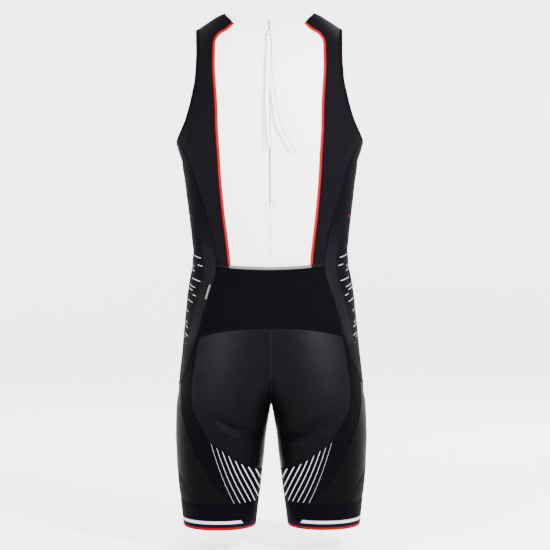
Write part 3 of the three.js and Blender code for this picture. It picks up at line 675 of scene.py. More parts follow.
def band(name, edge, inner, side=1.0, both=False, wrap=False):
    """A folded binding between its free edge and the line where it is sewn on."""
    edge_marks, inner_marks = edge.marks, inner.marks
    sides = np.full(len(edge_marks), side)
    if both:
        edge_marks = np.concatenate([edge_marks[:0:-1], edge_marks])
        inner_marks = np.concatenate([inner_marks[:0:-1], inner_marks])
        sides = np.concatenate([np.full(len(inner.marks) - 1, -1.0), np.ones(len(inner.marks))])
    free, normals = surface_place(edge_marks, sides)
    sewn, _ = surface_place(inner_marks, sides)
    section = np.array(BINDING_SECTION)
    share = section[:, 0][None, :, None]
    along = length_along(sewn)
    short_wave, long_wave = (np.sin(along * TURN / size)[:, None] for size in BINDING_WAVES)
    wave = 1 + BINDING_PUCKER * short_wave * long_wave
    out = np.where(section[:, 1] > 0, section[:, 1] * wave, section[:, 1])
    points = sewn[:, None] * (1 - share) + free[:, None] * share + out[..., None] * normals[:, None]
    if wrap:
        points = points[:-1]
    rows, columns = points.shape[:2]
    faces = [grid_faces(columns, rows, 0, wrap, False)]
    flat = points.transpose(1, 0, 2).reshape(-1, 3)
    numbers = np.arange(rows * columns).reshape(columns, rows)
    closing = grid_faces(2, rows, 0, wrap, False)
    last = numbers[-1]
    closing = np.where(closing < rows, last[closing % rows], numbers[0][closing % rows])
    faces.append(closing)
    faces = [list(face) for face in np.concatenate(faces)]
    if not wrap:
        faces += [list(numbers[:, 0]), list(numbers[::-1, -1])]
    if volume_of(flat, np.array([face for face in faces if len(face) == 4])) < 0:
        faces = [face[::-1] for face in faces]
    piece = new_mesh(name, flat, faces)
    widths = np.linalg.norm(free - sewn, axis=1)[: rows]
    across = np.outer(section[:, 0], widths)
    down = np.broadcast_to(along[:rows], across.shape)
    give_places(piece, across, down, np.minimum(across, widths - across))
    return piece


STITCH = 2.5  # length of a stitch
STITCH_GAP = 0.7
THREAD = 0.34  # half the thickness of a stitch
COARSE = [[0, -1, 0], [0, 0, 1], [0, 1, 0], [0, 0, -1]]  # a stitch's middle ring: across and out


def stitch_row(points, normals, length=STITCH, gap=STITCH_GAP, thread=THREAD):
    """Points and faces of a row of stitches that lies on a line of points."""
    along = length_along(points)
    count = int(along[-1] / (length + gap))
    if count < 1:
        return np.zeros((0, 3)), np.zeros((0, 3), int)
    middles = (np.arange(count) + 0.5) * along[-1] / count
    start = at_lengths(middles - length / 2, along, points)
    end = at_lengths(middles + length / 2, along, points)
    out = unit(at_lengths(middles, along, normals))
    across = unit(np.cross(end - start, out))
    middle = (start + end) / 2
    ring = [middle + thread * (across * a + out * (b + 0.4)) for _, a, b in COARSE]
    corners = np.stack([start, *ring, end], axis=1).reshape(-1, 3)
    faces = [[0, 1 + (k + 1) % 4, 1 + k] for k in range(4)]
    faces += [[5, 1 + k, 1 + (k + 1) % 4] for k in range(4)]
    return corners, (np.arange(count)[:, None, None] * 6 + np.array(faces)).reshape(-1, 3)


def thread_piece(name, rows):
    """One piece of thread from rows of stitches."""
    points, faces, total = [], [], 0
    for row_points, row_faces in rows:
        points.append(row_points)
        faces.append(row_faces + total)
        total += len(row_points)
    return new_mesh(name, np.concatenate(points), np.concatenate(faces))


def offset_line(seam, distance, side=1.0, lift=0.0):
    """Points and normals of a line on the cloth beside a seam, to its right as it runs."""
    points, normals = surface_place(seam.marks, side, lift)
    along = unit(np.gradient(points, axis=0))
    return points + np.cross(along, normals) * distance * side, normals


FLAT_SEAM_HALF = 1.5  # half the width of a flat seam's sewing
FLAT_SEAM_LIFT = 0.12


def flat_seam(seam, side):
    """A flat seam's threads: a row on each side, and a zigzag between them."""
    left, normals = offset_line(seam, -FLAT_SEAM_HALF, side, FLAT_SEAM_LIFT)
    right, right_normals = offset_line(seam, FLAT_SEAM_HALF, side, FLAT_SEAM_LIFT)
    rows = [stitch_row(left, normals), stitch_row(right, right_normals)]
    along = length_along(left)
    count = max(2, int(along[-1] / (STITCH + STITCH_GAP)))
    places = np.linspace(0, along[-1], 2 * count + 1)
    on_left = (np.arange(len(places)) % 2 == 0)[:, None]
    turns = np.where(on_left, at_lengths(places, along, left), at_lengths(places, along, right))
    out = at_lengths(places, along, normals)
    for i in range(len(turns) - 1):
        length = float(np.linalg.norm(turns[i + 1] - turns[i]))
        rows.append(stitch_row(turns[i : i + 2], out[i : i + 2], length * 0.92, 0, THREAD * 0.8))
    return rows


class Signal:
    """A number on its way through a finish, worked out with ordinary arithmetic."""

    def __init__(self, finish, socket):
        self.finish = finish
        self.socket = socket

    def maths(self, operation, *others):
        return self.finish.node("ShaderNodeMath", {"operation": operation}, [self, *others])

    def __add__(self, other):
        return self.maths("ADD", other)

    def __sub__(self, other):
        return self.maths("SUBTRACT", other)

    def __mul__(self, other):
        return self.maths("MULTIPLY", other)

    def __truediv__(self, other):
        return self.maths("DIVIDE", other)

    def __rsub__(self, other):
        return self.finish.node("ShaderNodeMath", {"operation": "SUBTRACT"}, [other, self])

    __radd__ = __add__
    __rmul__ = __mul__

    def __abs__(self):
        return self.maths("ABSOLUTE")

    def least(self, other):
        return self.maths("MINIMUM", other)

    def most(self, other):
        return self.maths("MAXIMUM", other)

    def sine(self):
        return self.maths("SINE")

    def fraction(self):
        return self.maths("FRACT")

    def whole(self):
        return self.maths("FLOOR")

    def over(self, limit, soft):
        """1 above a limit and 0 below it, with a soft step."""
        return self.finish.node(
            "ShaderNodeMapRange",
            {"interpolation_type": "SMOOTHSTEP"},
            {"Value": self, "From Min": limit - soft, "From Max": limit + soft},
        )

    def under(self, limit, soft):
        return 1 - self.over(limit, soft)


class Finish:
    """A material, with its shader's sockets set from one list of values and links."""

    def __init__(self, name, roughness, specular=0.3):
        self.material = bpy.data.materials.new(name)
        self.material.use_nodes = True
        self.nodes = self.material.node_tree.nodes
        self.links = self.material.node_tree.links
        self.shader = self.nodes["Principled BSDF"]
        self.shader.inputs["Roughness"].default_value = roughness
        self.shader.inputs["Specular IOR Level"].default_value = specular
        self.place = self.node("ShaderNodeTexCoord", {}, {}, "Object")
        self.x, self.y, self.z = self.parts(self.place)

    def node(self, kind, settings, inputs, output=0):
        made = self.nodes.new(kind)
        for key, value in settings.items():
            setattr(made, key, value)
        for key, value in inputs.items() if isinstance(inputs, dict) else enumerate(inputs):
            self.put(made.inputs[key], value)
        return Signal(self, made.outputs[output])

    def put(self, socket, value):
        if isinstance(value, Signal):
            self.links.new(value.socket, socket)
        elif isinstance(value, (list, tuple)) and len(socket.default_value) == 4:
            socket.default_value = (*value[:3], 1)
        else:
            socket.default_value = value

    def parts(self, vector):
        first = self.node("ShaderNodeSeparateXYZ", {}, [vector])
        return [Signal(self, out) for out in first.socket.node.outputs]

    def cloth_place(self):
        """Across and down the piece's own cloth, in metres."""
        return self.parts(self.node("ShaderNodeUVMap", {"uv_map": "cloth"}, {}))[:2]

    def edge(self):
        """Distance to the nearest edge of the cloth, in metres."""
        return self.node("ShaderNodeAttribute", {"attribute_name": "edge"}, {}, "Fac")

    def noise(self, scale, detail=2.0, roughness=0.5):
        inputs = {"Vector": self.place, "Scale": scale, "Detail": detail, "Roughness": roughness}
        return self.node("ShaderNodeTexNoise", {}, inputs, "Fac")

    def uneven(self, middle, spread):
        """A roughness that wanders about a middle value over the cloth."""
        return self.noise(14, 2) * spread + (middle - spread / 2)

    def seam_shade(self):
        """1 where the cloth goes down into its seams and 0 away from them, to paint shade there."""
        return self.edge().under(0.0009, 0.0007)

    def mix(self, share, first, second):
        """Two colours mixed by a share."""
        return self.node("ShaderNodeMix", {"data_type": "RGBA"}, {0: share, 6: first, 7: second}, 2)

    def done(self, colour, roughness=None, height=None):
        self.put(self.shader.inputs["Base Color"], colour)
        if roughness is not None:
            self.put(self.shader.inputs["Roughness"], roughness)
        if height is not None:
            bump = self.node("ShaderNodeBump", {}, {"Height": height, "Distance": 1.0})
            self.put(self.shader.inputs["Normal"], bump)
        return self.material


RIB = 0.0009  # between two ribs of the knit, in metres
KNIT_DEEP = 0.00003  # how deep its ribs are, in metres
YARN = 1400  # scale of the fine unevenness of the yarn


def knit_height(finish, deep=KNIT_DEEP, rib=RIB):
    """The knit's ribs and courses, with a little unevenness, as a height in metres."""
    across, down = finish.cloth_place()
    ribs = (across * (TURN / rib)).sine()
    courses = (down * (TURN / (rib * 1.4)) + (across * (math.pi / rib)).sine() * 1.2).sine()
    return (ribs * 0.6 + courses * 0.4) * deep + finish.noise(900, 3, 0.6) * (deep * 1.5)


def knit_colour(finish, colour, light, shade=0.75):
    """A cloth's colour, a little uneven all over, with shade painted into the seams."""
    pale = tuple(min(1, c * light) for c in colour)
    dark = tuple(c * shade for c in colour)
    even = finish.mix(finish.noise(9, 3), colour, pale)
    fine = finish.mix(finish.noise(YARN, 1) * 0.35, even, dark)
    # painted shade where the cloth goes down into its seams
    return finish.mix(finish.seam_shade() * 0.6, fine, tuple(c * 0.35 for c in colour))


def cloth_finish(name, colour, roughness, light=1.25, specular=0.012, deep=KNIT_DEEP):
    finish = Finish(name, roughness, specular)
    rough = finish.uneven(roughness, 0.16)
    return finish.done(knit_colour(finish, colour, light), rough, knit_height(finish, deep))


BLACK = (0.0025, 0.0022, 0.0030)
# DEEP_BLACK: the black of the backs of the legs and the cuffs, and the painted shade of the seat
DEEP_BLACK = (0.0009, 0.0008, 0.0013)
WHITE = (0.90, 0.895, 0.92)
PRINT_WHITE = (0.40, 0.40, 0.42)
PRINT_RED = (0.225, 0.0014, 0.0028)
HEM_RED = (0.15, 0.0010, 0.0022)
NAVY = (0.0018, 0.0022, 0.0070)
SATIN = (0.0011, 0.0011, 0.0014)
SIDE_BLACK = (0.0015, 0.0013, 0.0022)
# painted sheen of the satin strip beside the pocket
STRIP_SHEEN = (0.0044, 0.0047, 0.0050)
# SEAT: the colour that the seat's painted light runs towards
SEAT = (0.0100, 0.0087, 0.0109)

WHITE_SHADED_LOW = (0.765, 0.76, 0.805)  # the white towards the waist, greyed with painted shade
WHITE_YARN = (0.66, 0.66, 0.71)
WHITE_SEAM_SHADE = (0.5, 0.5, 0.54)
SLIT_GREY = (0.07, 0.07, 0.08)  # painted shadow beside the slit over the zip


def white_finish():
    """White knit, with painted shade that greys it towards the waist and in its seams, and a painted shadow
    along the slit over the zip.
    """
    finish = Finish("white_knit", 0.72, 0.3)
    # painted shade: greyer towards the waist, as the light falls from above
    lit_from_above = finish.z.over(-0.38, 0.3)
    colour = finish.mix(lit_from_above, WHITE_SHADED_LOW, WHITE)
    colour = finish.mix(finish.noise(YARN, 1) * 0.12, colour, WHITE_YARN)
    # painted shade where the cloth goes down into its seams
    colour = finish.mix(finish.edge().under(0.0009, 0.0008) * 0.5, colour, WHITE_SEAM_SHADE)
    slit = abs(finish.x).under(0.0013, 0.0004) * finish.z.over(ZIP_END * MM, 0.001)
    colour = finish.mix(slit * 0.9, colour, SLIT_GREY)
    return finish.done(colour, None, knit_height(finish, 0.000025, 0.0008))


FAN_TOP = -0.850  # level at which the fan of lines is measured
FAN_LEAN = 0.385  # how far the outermost line leans inwards for its drop
FAN_TURNS = 2.7  # how much more a line leans for each metre that it is further in
FAN_FIRST = 0.0860  # distance of the outermost line from the middle, at that level
FAN_PITCH = 0.0092
FAN_THIN = 0.00018  # half the width of the outermost line
FAN_MOST = 0.475  # the most that any line leans
FAN_EASED = 0.66  # the lean that the innermost lines ease back from
FAN_START = -0.779  # no line starts above this level
FAN_GROWS = 0.00013  # how much wider each line is than the one outside it

SEAT_GLEAM = 0.083  # distance from the middle of the painted highlight on each half of the seat
SEAT_FADE = -0.705  # level below which the seat is darkened with painted shade
SEAT_INNER = 0.062  # how far from the middle the painted shade between the legs ends, at the level below
SEAT_INNER_LEVEL = -0.60
SEAT_RIM = 0.126  # how far from the middle the painted shade at its outer edge begins


def seat_finish():
    """A close dark knit, with a painted highlight on each half of the seat, and painted shade below it, at
    its outer edges and darkest between the legs.
    """
    finish = Finish("seat_knit", 0.45, 0.02)
    out = abs(finish.x)
    # Painted light and shade: the colour runs from DEEP_BLACK in the painted shade to SEAT in the painted
    # highlight
    painted_highlight = abs(out - SEAT_GLEAM).under(0.024, 0.024)
    high = finish.z.over(SEAT_FADE, 0.10)
    inner = (out - (finish.z - SEAT_INNER_LEVEL) * -0.4).over(SEAT_INNER, 0.055)
    rim = out.under(SEAT_RIM, 0.028)
    share = (high * 0.75 + 0.1) * (painted_highlight * 0.4 + 0.6) * (inner * 0.75 + 0.25) * (rim * 0.7 + 0.3)
    colour = finish.mix(share, DEEP_BLACK, SEAT)
    fine = finish.mix(finish.noise(YARN, 1) * 0.3, colour, DEEP_BLACK)
    # painted shade where the cloth goes down into its seams
    fine = finish.mix(finish.seam_shade() * 0.6, fine, tuple(c * 0.5 for c in DEEP_BLACK))
    return finish.done(fine, finish.uneven(0.45, 0.16), knit_height(finish))


def leg_back_finish():
    """Black, with a fan of white lines printed across the back of the thigh."""
    finish = Finish("leg_back_knit", 0.62, 0.008)
    out = abs(finish.x)
    inward = FAN_FIRST - out
    lean = (inward * FAN_TURNS + FAN_LEAN).least(FAN_MOST).least(FAN_EASED - inward * 4)
    measured = (inward + (finish.z - FAN_TOP) * lean) / FAN_PITCH
    line = (measured + 0.5).whole().most(0)
    away = abs(measured - line) * FAN_PITCH
    width = line * FAN_GROWS + FAN_THIN
    fan = (width - away).over(0, 0.00022) * finish.edge().over(0.0016, 0.0003)
    fan = fan * finish.y.over(0.006, 0.004) * finish.z.under(FAN_START, 0.001)
    colour = finish.mix(fan, knit_colour(finish, DEEP_BLACK, 1.5), PRINT_WHITE)
    return finish.done(colour, finish.uneven(0.60, 0.16), knit_height(finish))


DASH_PITCH = 0.0066  # between two rows of dashes
DASH_SPAN = 0.047  # from one dash to the next along its row
DASH_LEAN = 0.3
# Levels between which the white and the red dashes are printed
WHITE_DASHES = (-0.622, -0.430)
RED_DASHES = (-0.395, -0.342)
DASH_START = 0.031  # how far across the panel from its back seam the dashes begin
DASH_FRONT = -0.052  # and how far forward they go
STRIP_WIDE = 0.026  # width of the satin strip
STRIP_ENDS = (-0.605, -0.425)


def side_finish():
    """Black, with rows of short leaning dashes at the side and a smoother satin strip beside the pocket,
    its sheen painted in as a paler colour.
    """
    finish = Finish("side_knit", 0.58, 0.010)
    across, down = finish.cloth_place()
    leaning = finish.z + finish.y * DASH_LEAN
    row = (leaning / DASH_PITCH).whole()
    step = abs((leaning / DASH_PITCH).fraction() - 0.5) * DASH_PITCH
    chance = finish.node("ShaderNodeTexWhiteNoise", {"noise_dimensions": "1D"}, {"W": row}, "Value")
    shift = finish.node("ShaderNodeTexWhiteNoise", {"noise_dimensions": "1D"}, {"W": row + 40}, "Value")
    along = (finish.y / DASH_SPAN + shift).fraction()
    dash = step.under(0.00046, 0.00018) * along.under(0.5, 0.01) * chance.over(0.40, 0.01)
    width = finish.y.over(DASH_FRONT, 0.002) * across.over(DASH_START, 0.001)
    white, red = (
        dash * width * finish.z.over(low, 0.002) * finish.z.under(high, 0.002)
        for low, high in (WHITE_DASHES, RED_DASHES)
    )
    red = red * chance.over(0.6, 0.01)
    low, high = STRIP_ENDS
    strip = across.under(STRIP_WIDE, 0.005) * finish.z.under(high, 0.05) * finish.z.over(low, 0.01)
    # the strip is smoother, and its sheen is painted in as a paler colour
    colour = finish.mix(strip * 0.9, knit_colour(finish, SIDE_BLACK, 1.3), STRIP_SHEEN)
    colour = finish.mix(white, colour, PRINT_WHITE)
    colour = finish.mix(red, colour, PRINT_RED)
    return finish.done(colour, finish.uneven(0.60, 0.12) - strip * 0.14, knit_height(finish))


LINE_TOP, LINE_FOOT, NAVY_FOOT = -0.9252, -0.9304, -0.9370
LINE_END = 0.052  # where the line stops on the inner half of the leg
LINE_SOFT = 0.0004  # how soft the edge of a printed line is


def cuff_finish():
    """Black, with a white line that ends on the inside of the leg, a navy line and a red edge."""
    finish = Finish("cuff_knit", 0.6, 0.008)
    out = abs(finish.x) - (finish.z + 0.93) * 0.8
    outside = out.over(LINE_END, LINE_SOFT)
    white = finish.z.under(LINE_TOP, LINE_SOFT) * finish.z.over(LINE_FOOT, LINE_SOFT) * outside
    navy = finish.z.under(LINE_FOOT, LINE_SOFT) * finish.z.over(NAVY_FOOT, LINE_SOFT)
    colour = finish.mix(navy, knit_colour(finish, DEEP_BLACK, 1.5), NAVY)
    colour = finish.mix(white, colour, PRINT_WHITE)
    colour = finish.mix(finish.z.under(NAVY_FOOT, LINE_SOFT), colour, HEM_RED)
    return finish.done(colour, finish.uneven(0.60, 0.14), knit_height(finish))


ELASTIC_BLOCK = 0.0036  # from one slanted block to the next
ELASTIC_END = 0.0735  # how far from the middle the silver ends


def elastic_finish():
    """Silver-grey elastic, woven in small slanted blocks."""
    finish = Finish("silver_elastic", 0.5, 0.03)
    across, down = finish.cloth_place()
    slant = ((across + down * 0.8) * (TURN / ELASTIC_BLOCK)).sine()
    check = slant.over(0.1, 0.6)
    colour = finish.mix(check, (0.010, 0.0105, 0.012), (0.19, 0.195, 0.205))
    colour = finish.mix(abs(finish.x).over(ELASTIC_END, 0.0006), colour, BLACK)
    return finish.done(colour, None, check * 0.00012 + (across * (TURN / 0.0006)).sine() * 0.00002)


def ribbon_finish():
    """Slightly yellowish woven ribbon, with painted shadow darkening its edges."""
    finish = Finish("ribbon_weave", 0.6, 0.35)
    across, down = finish.cloth_place()
    twill = ((down + abs(across - RIBBON * MM / 2)) * (TURN / 0.0011)).sine()
    colour = finish.mix(twill.over(0, 0.9) * 0.3, (0.93, 0.925, 0.90), (0.80, 0.79, 0.765))
    # painted shadow: the ribbon's edges are darkened to stand in for the shadows along them
    colour = finish.mix(finish.edge().under(0.0010, 0.0005) * 0.9, colour, (0.15, 0.15, 0.155))
    return finish.done(colour, None, twill * 0.00005)


def thread_finish(name, colour):
    finish = Finish(name, 0.6, 0.05)
    twist = ((finish.x + finish.y + finish.z) * (TURN / 0.0007)).sine()
    return finish.done(finish.mix(twist.over(0, 0.8) * 0.4, colour, tuple(c * 0.55 for c in colour)))


def plastic_finish():
    finish = Finish("zip_plastic", 0.3, 0.5)
    worn = finish.noise(500, 3)
    return finish.done(finish.mix(worn * 0.3, (0.78, 0.78, 0.76), (0.66, 0.66, 0.64)), worn * 0.12 + 0.26)


CAMERA = (-0.0083, 2.5, -0.483)
CAMERA_ROLL = 0.3 * DEGREE  # the suit hangs a little out of plumb in the picture
LENS = 88.4


def set_camera():
    """The photograph's view: level, from behind."""
    bpy.ops.object.camera_add(location=CAMERA, rotation=(math.pi / 2, CAMERA_ROLL, math.pi))
    camera = bpy.context.object
    camera.data.sensor_width = 36
    camera.data.lens = LENS
    bpy.context.scene.camera = camera


RIBBON = 9.5  # width of the pull ribbon
RIBBON_WALL = 0.55
TAIL_CUT = {"ribbon_tail_left": 0.1, "ribbon_tail_right": -0.85}  # how slanted a tail's end is cut
RIBBON_CUP = 0.3  # how far the middle of the ribbon stands out from its edges

# The two free tails of the pull ribbon: the middle's distance from the middle plane, its level, how far it
# stands off the back, and how far its right edge is turned out, in degrees
TAILS = {
    "ribbon_tail_left": [
        [0.8, -55.1, 2.75, 0], [0.8, -66, 2.75, 0], [1, -80, 2.75, 0], [1.8, -98, 2.75, 0],
        [2.6, -116, 2.75, 0], [3, -132, 2.75, 0], [3.5, -150, 3.1, 0], [4, -170, 3.8, 8],
        [3.7, -190, 4.4, 24], [3.2, -210, 5.1, 40], [2.4, -232, 5.7, 52], [0.8, -257, 6.1, 60],
    ],
    "ribbon_tail_right": [
        [0.4, -55.1, 1.3, 0], [0.3, -66, 1.3, 0], [0.1, -80, 1.3, 0], [-0.2, -98, 1.3, 0],
        [-0.6, -116, 1.3, 0], [-1.2, -132, 1.3, 0], [-2.8, -148, 1.3, 0], [-5.8, -163, 1.4, 0],
        [-8.6, -179, 1.8, 0], [-10.9, -196, 2.3, 0], [-14.4, -213, 3, 0], [-20.4, -229, 3.6, 0],
        [-29.3, -245, 4.6, 0], [-40.6, -264, 6.4, 0],
    ],
}


class Laid:
    """A grid of points with their normals, measured as cloth is."""

    def __init__(self, outer, normals):
        self.outer = outer
        self.normals = normals
        self.wrap = False
        self.across = span(outer, 1)
        self.down = span(outer, 0)
        ends = [self.down, self.down[-1:] - self.down, self.across, self.across[:, -1:] - self.across]
        self.edge = np.min(ends, axis=0)


def tail(name, finish, steps=90, columns=11):
    """One free tail of the ribbon, hanging from the slider."""
    rows = np.array(TAILS[name], float)
    along = length_along(rows[:, :2])
    at = np.linspace(0, along[-1], steps)
    x, z, stand, twist = (smooth(along, rows[:, k], at) for k in range(4))
    marks = np.array([mark(abs(a), b) for a, b in zip(x, z)])
    normals = unit(form_normal(marks[:, 0], marks[:, 1]) * [0, 1, 1])
    middle = form_with_seat(marks[:, 0], marks[:, 1]) + stand[:, None] * normals
    middle[:, 0] = np.sign(x) * np.abs(middle[:, 0])
    direction = unit(np.gradient(middle, axis=0))
    turned = (twist * DEGREE)[:, None]
    flat = unit(np.cross(direction, normals))
    sideways = unit(flat * np.cos(turned) + normals * np.sin(turned))
    out = unit(np.cross(sideways, direction))
    share = np.linspace(-0.5, 0.5, columns)
    cup = RIBBON_CUP * (1 - (2 * share) ** 2)
    grid = middle[:, None] + sideways[:, None] * (share * RIBBON)[None, :, None]
    grid = grid + out[:, None] * (cup + RIBBON_WALL / 2)[None, :, None]
    near_end = np.clip((at - at[-1] + 12) / 12, 0, 1) ** 2
    slant = near_end[:, None] * share[None] * RIBBON * TAIL_CUT[name]
    grid = grid + direction[:, None] * slant[..., None]
    piece = shell(name + "_cloth", Laid(grid, np.broadcast_to(out[:, None], grid.shape)), RIBBON_WALL)
    piece.data.materials.append(finish)
    path = [tuple(point * MM) for point in middle]
    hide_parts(name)
    return piece


set_camera()
ribbon_weave = ribbon_finish()
for tail_name in TAILS:
    tail(tail_name, ribbon_weave)

white_knit = white_finish()
black_knit = cloth_finish("black_knit", BLACK, 0.62)
pocket_knit = cloth_finish("pocket_knit", (0.0016, 0.0015, 0.0021), 0.85, 1.2, 0.006)
seat_knit = seat_finish()
satin_knit = cloth_finish("satin_knit", SATIN, 0.42, deep=0.000018)
red_knit = cloth_finish("red_trim", PRINT_RED, 0.62, 1.15)
fan_knit = leg_back_finish()
dash_knit = side_finish()
line_knit = cuff_finish()
elastic_weave = elastic_finish()
label_weave = cloth_finish("label_weave", (0.085, 0.082, 0.074), 0.7, 1.9)

WORN = 1.06  # how far the knit is stretched, across and down, when the suit is worn


def cut(piece, width, length, pieces=()):
    """Works out the area of a sheet of cloth by the size it was cut to: what shows, less the stretch of
    wearing it. The result is not kept.
    """
    shows = sum(face.area for face in piece.data.polygons) / 2
    flat = (width * MM / WORN, length * MM / WORN)
    area = min(shows / WORN**2, flat[0] * flat[1])


def panel(node, marks, finish, slot, sides=1.0, **laid):
    """A sewn panel that stands for one of the frame's solids, with its width and length as worn."""
    cloth = Cloth(marks, sides, **laid)
    piece = shell(node + "_cloth", cloth)
    piece.data.materials.append(finish)
    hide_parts(node)
    return piece, float(cloth.across.max()), float(cloth.down.max())


def panel_pair(node, marks, finish, slot, **laid):
    for word, side in SIDES:
        cut(*panel(node + "_" + word, marks, finish, slot, side, **laid))


def narrow(node, marks, finish, slot, sides=1.0, **laid):
    """A piece too narrow to be a sheet of its own: it goes with the one it is sewn to."""
    return panel(node, marks, finish, slot, sides, **laid)[0]


def between(first, second, steps):
    """Marks of a strip between two seams."""
    share = np.linspace(0, 1, steps + 1)[:, None, None]
    return first.marks[None] * (1 - share) + second.marks[None] * share


def join_marks(first, second):
    return run([first.marks[-1], second.marks[0]], 1)


def back_pieces():
    white_edge = join_marks(neck_back_inner, trim_inner) + trim_inner
    centre_marks = patch(neck_back_inner, seat_top, zip_edge, white_edge)
    black_inner = run([ridge_seam.marks[0], neck_back_inner.marks[-1]], 1)
    black_inner = black_inner + join_marks(neck_back_inner, trim_outer) + trim_outer
    black_outer = arm_side_inner.back() + side_seam_upper + pocket_side
    for word, side in SIDES:
        red_marks = np.moveaxis(between(trim_inner, trim_outer, 4), 0, 1)
        red = narrow("trim_" + word, red_marks, red_knit, "red_trim", side)
        centre, width, length = panel("back_centre_" + word, centre_marks, white_knit, "white_cloth", side)
        cut(centre, width, length, [red])
    black_marks = patch(ridge_seam, back_side_foot, black_inner, black_outer)
    panel_pair("back_side", black_marks, black_knit, "black_cloth")


def front_pieces():
    top = neck_front_inner + Seam(ridge_seam.marks[CELL_SHARE:]).front()
    side = arm_side_inner.back().front() + side_front_upper
    whole, sides = both_halves(patch(top, front_top_legs, front_middle, side))
    cut(*panel("front_body", whole, black_knit, "black_cloth", sides))
    leg_inner = front_rise + inseam_front
    leg_outer = side_front_lower + leg_front
    leg = patch(front_top_legs, cuff_front, leg_inner, leg_outer)
    panel_pair("front_leg", leg, black_knit, "black_cloth", gap=0)


def side_pieces():
    top = arm_bottom_inner.back() + arm_bottom_inner.front()
    back = side_seam_upper + pocket_side + hip_side
    front = side_front_upper + side_front_lower
    panel_pair("side", patch(top, hip_top, back, front), dash_knit, "black_cloth")


def seat_and_legs():
    upper = seat_top + join_marks(seat_top, seat_top_side) + seat_top_side
    middle = seat_middle + inseam_seat
    panel_pair("seat", patch(upper, seat_low.back(), middle, seat_side), seat_knit, "seat_cloth")
    outer = hip_side + leg_curve + cuff_back
    back_marks = patch(strip_top, inseam_back, seat_side + seat_low, outer)
    panel_pair("leg_back", back_marks, fan_knit, "black_cloth")
    panel_pair("leg_outer", patch(hip_top, cuff_outer, leg_curve, leg_front), satin_knit, "satin_cloth")


def cuffs():
    seam = (cuff_back.back() + cuff_outer + cuff_front.back()).marks
    levels = np.linspace(CUFF_SEAM, HEM, 11)
    marks = np.stack([np.stack([seam[:, 0], np.full(len(seam), level)], axis=1) for level in levels])
    panel_pair("cuff", marks, line_knit, "cuff_cloth", wrap=True)


def bound(node, edge, inner, finish, side=1.0, both=False, wrap=False):
    """A binding that stands for one of the frame's solids."""
    piece = band(node + "_cloth", edge, inner, side, both, wrap)
    piece.data.materials.append(finish)
    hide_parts(node)
    places = form_with_seat(edge.marks[:, 0], edge.marks[:, 1])


def bindings():
    ring = arm_edge + arm_edge.back().front()
    arm_inner = arm_bottom_inner + arm_side_inner
    inner_ring = arm_inner + arm_inner.back().front()
    for word, side in SIDES:
        bound("armhole_binding_" + word, ring, inner_ring, black_knit, side, wrap=True)
        bound("neck_binding_back_" + word, neck_back, neck_back_inner, white_knit, side)
    bound("neck_binding_front", neck_front, neck_front_inner, black_knit, both=True)


POCKET_LIFT = 2.4  # outer face of the pocket above the back
POCKET_SEWN = 1.35  # the same where it is sewn on
POCKET_GAPE = 3.5  # how far its mouth stands open in the middle
POCKET_HEM = 0.115  # share of the pocket's height that is turned in at the mouth
HEM_RAISE = 0.4  # how much thicker the cloth is there
ELASTIC = 5
MOUTH = [[0, -475.2], [50, -473], [96.5, -467.6]]
POCKET_CORNER = [130, -594]
POCKET_FOOT = [[0, -577.2], [25, -577.7], [47, -578.9], [70, -581.4], [93, -585], [112, -589.2]]
POCKET_EDGE = [[96.5, -467.6], [98, -483], [105.5, -504], [114.5, -531], [121.5, -556]]
pocket_mouth = back_seam(MOUTH, 8)
pocket_foot = back_seam([*POCKET_FOOT, POCKET_CORNER], 8)
pocket_edge = back_seam([*POCKET_EDGE, POCKET_CORNER], 6)
elastic_top = back_seam([[x, z + ELASTIC] for x, z in MOUTH], 8)
pocket_marks = patch(pocket_mouth, pocket_foot, centre_line(-475.2, -577.2, 6), pocket_edge)
LABEL_LINE = [[106.8, -500], [114.6, -526]]
LABEL_WIDTH = 3.8
LABEL_LIFT = 1.2


def pocket_stand(across, down):
    """How far the pocket stands off the back at shares of its width and height."""
    side = np.abs(2 * across - 1)
    low = np.maximum(side**6, down**2)
    stand = POCKET_LIFT * (1 - low) + POCKET_SEWN * low + POCKET_GAPE * (1 - side**2) * (1 - down) ** 2
    return stand + HEM_RAISE * (np.clip((POCKET_HEM - down) / 0.012 + 0.5, 0, 1) - 0.5)


def pocket():
    marks, sides = both_halves(pocket_marks)
    piece, width, length = panel("pocket", marks, pocket_knit, "pocket_cloth", sides, lift=pocket_stand)
    strip, strip_sides = both_halves(between(elastic_top, pocket_mouth, 4))
    elastic = narrow(
        "pocket_elastic",
        strip,
        elastic_weave,
        "silver_elastic",
        strip_sides,
        lift=lambda across, down: pocket_stand(across, 0 * down),
    )
    inner = back_seam(LABEL_LINE, 3)
    outer = back_seam([[x + LABEL_WIDTH, z] for x, z in LABEL_LINE], 3)
    label_marks = np.moveaxis(between(inner, outer, 4), 0, 1)
    label = narrow("label", label_marks, label_weave, "pocket_cloth", lift=LABEL_LIFT)
    cut(piece, width, length, [elastic, label])


TAPE_WIDTH = 22
TAPE_LIFT = -2.1


def zip_tape():
    """The tape that the zip's teeth are sewn to, under the slit between the two white panels."""
    rows = back_middle.marks[back_middle.marks[:, 1] > ZIP_END]
    outside = [mark(TAPE_WIDTH / 2, float(form(turn, height)[2])) for turn, height in rows]
    strip = np.moveaxis(between(Seam(rows), Seam(outside), 6), 0, 1)
    marks, sides = both_halves(strip)
    laid = panel("zip_tape", marks, ribbon_weave, "white_cloth", sides, lift=TAPE_LIFT, gap=0)
    cut(*laid)


COIL_TURN = 1.15  # from one tooth of the coil to the next
COIL_HALF = 1.3
COIL_DEEP = 0.3
COIL_WIRE = 0.2
COIL_LIFT = -1.55
COIL_POINTS = 8  # round each turn


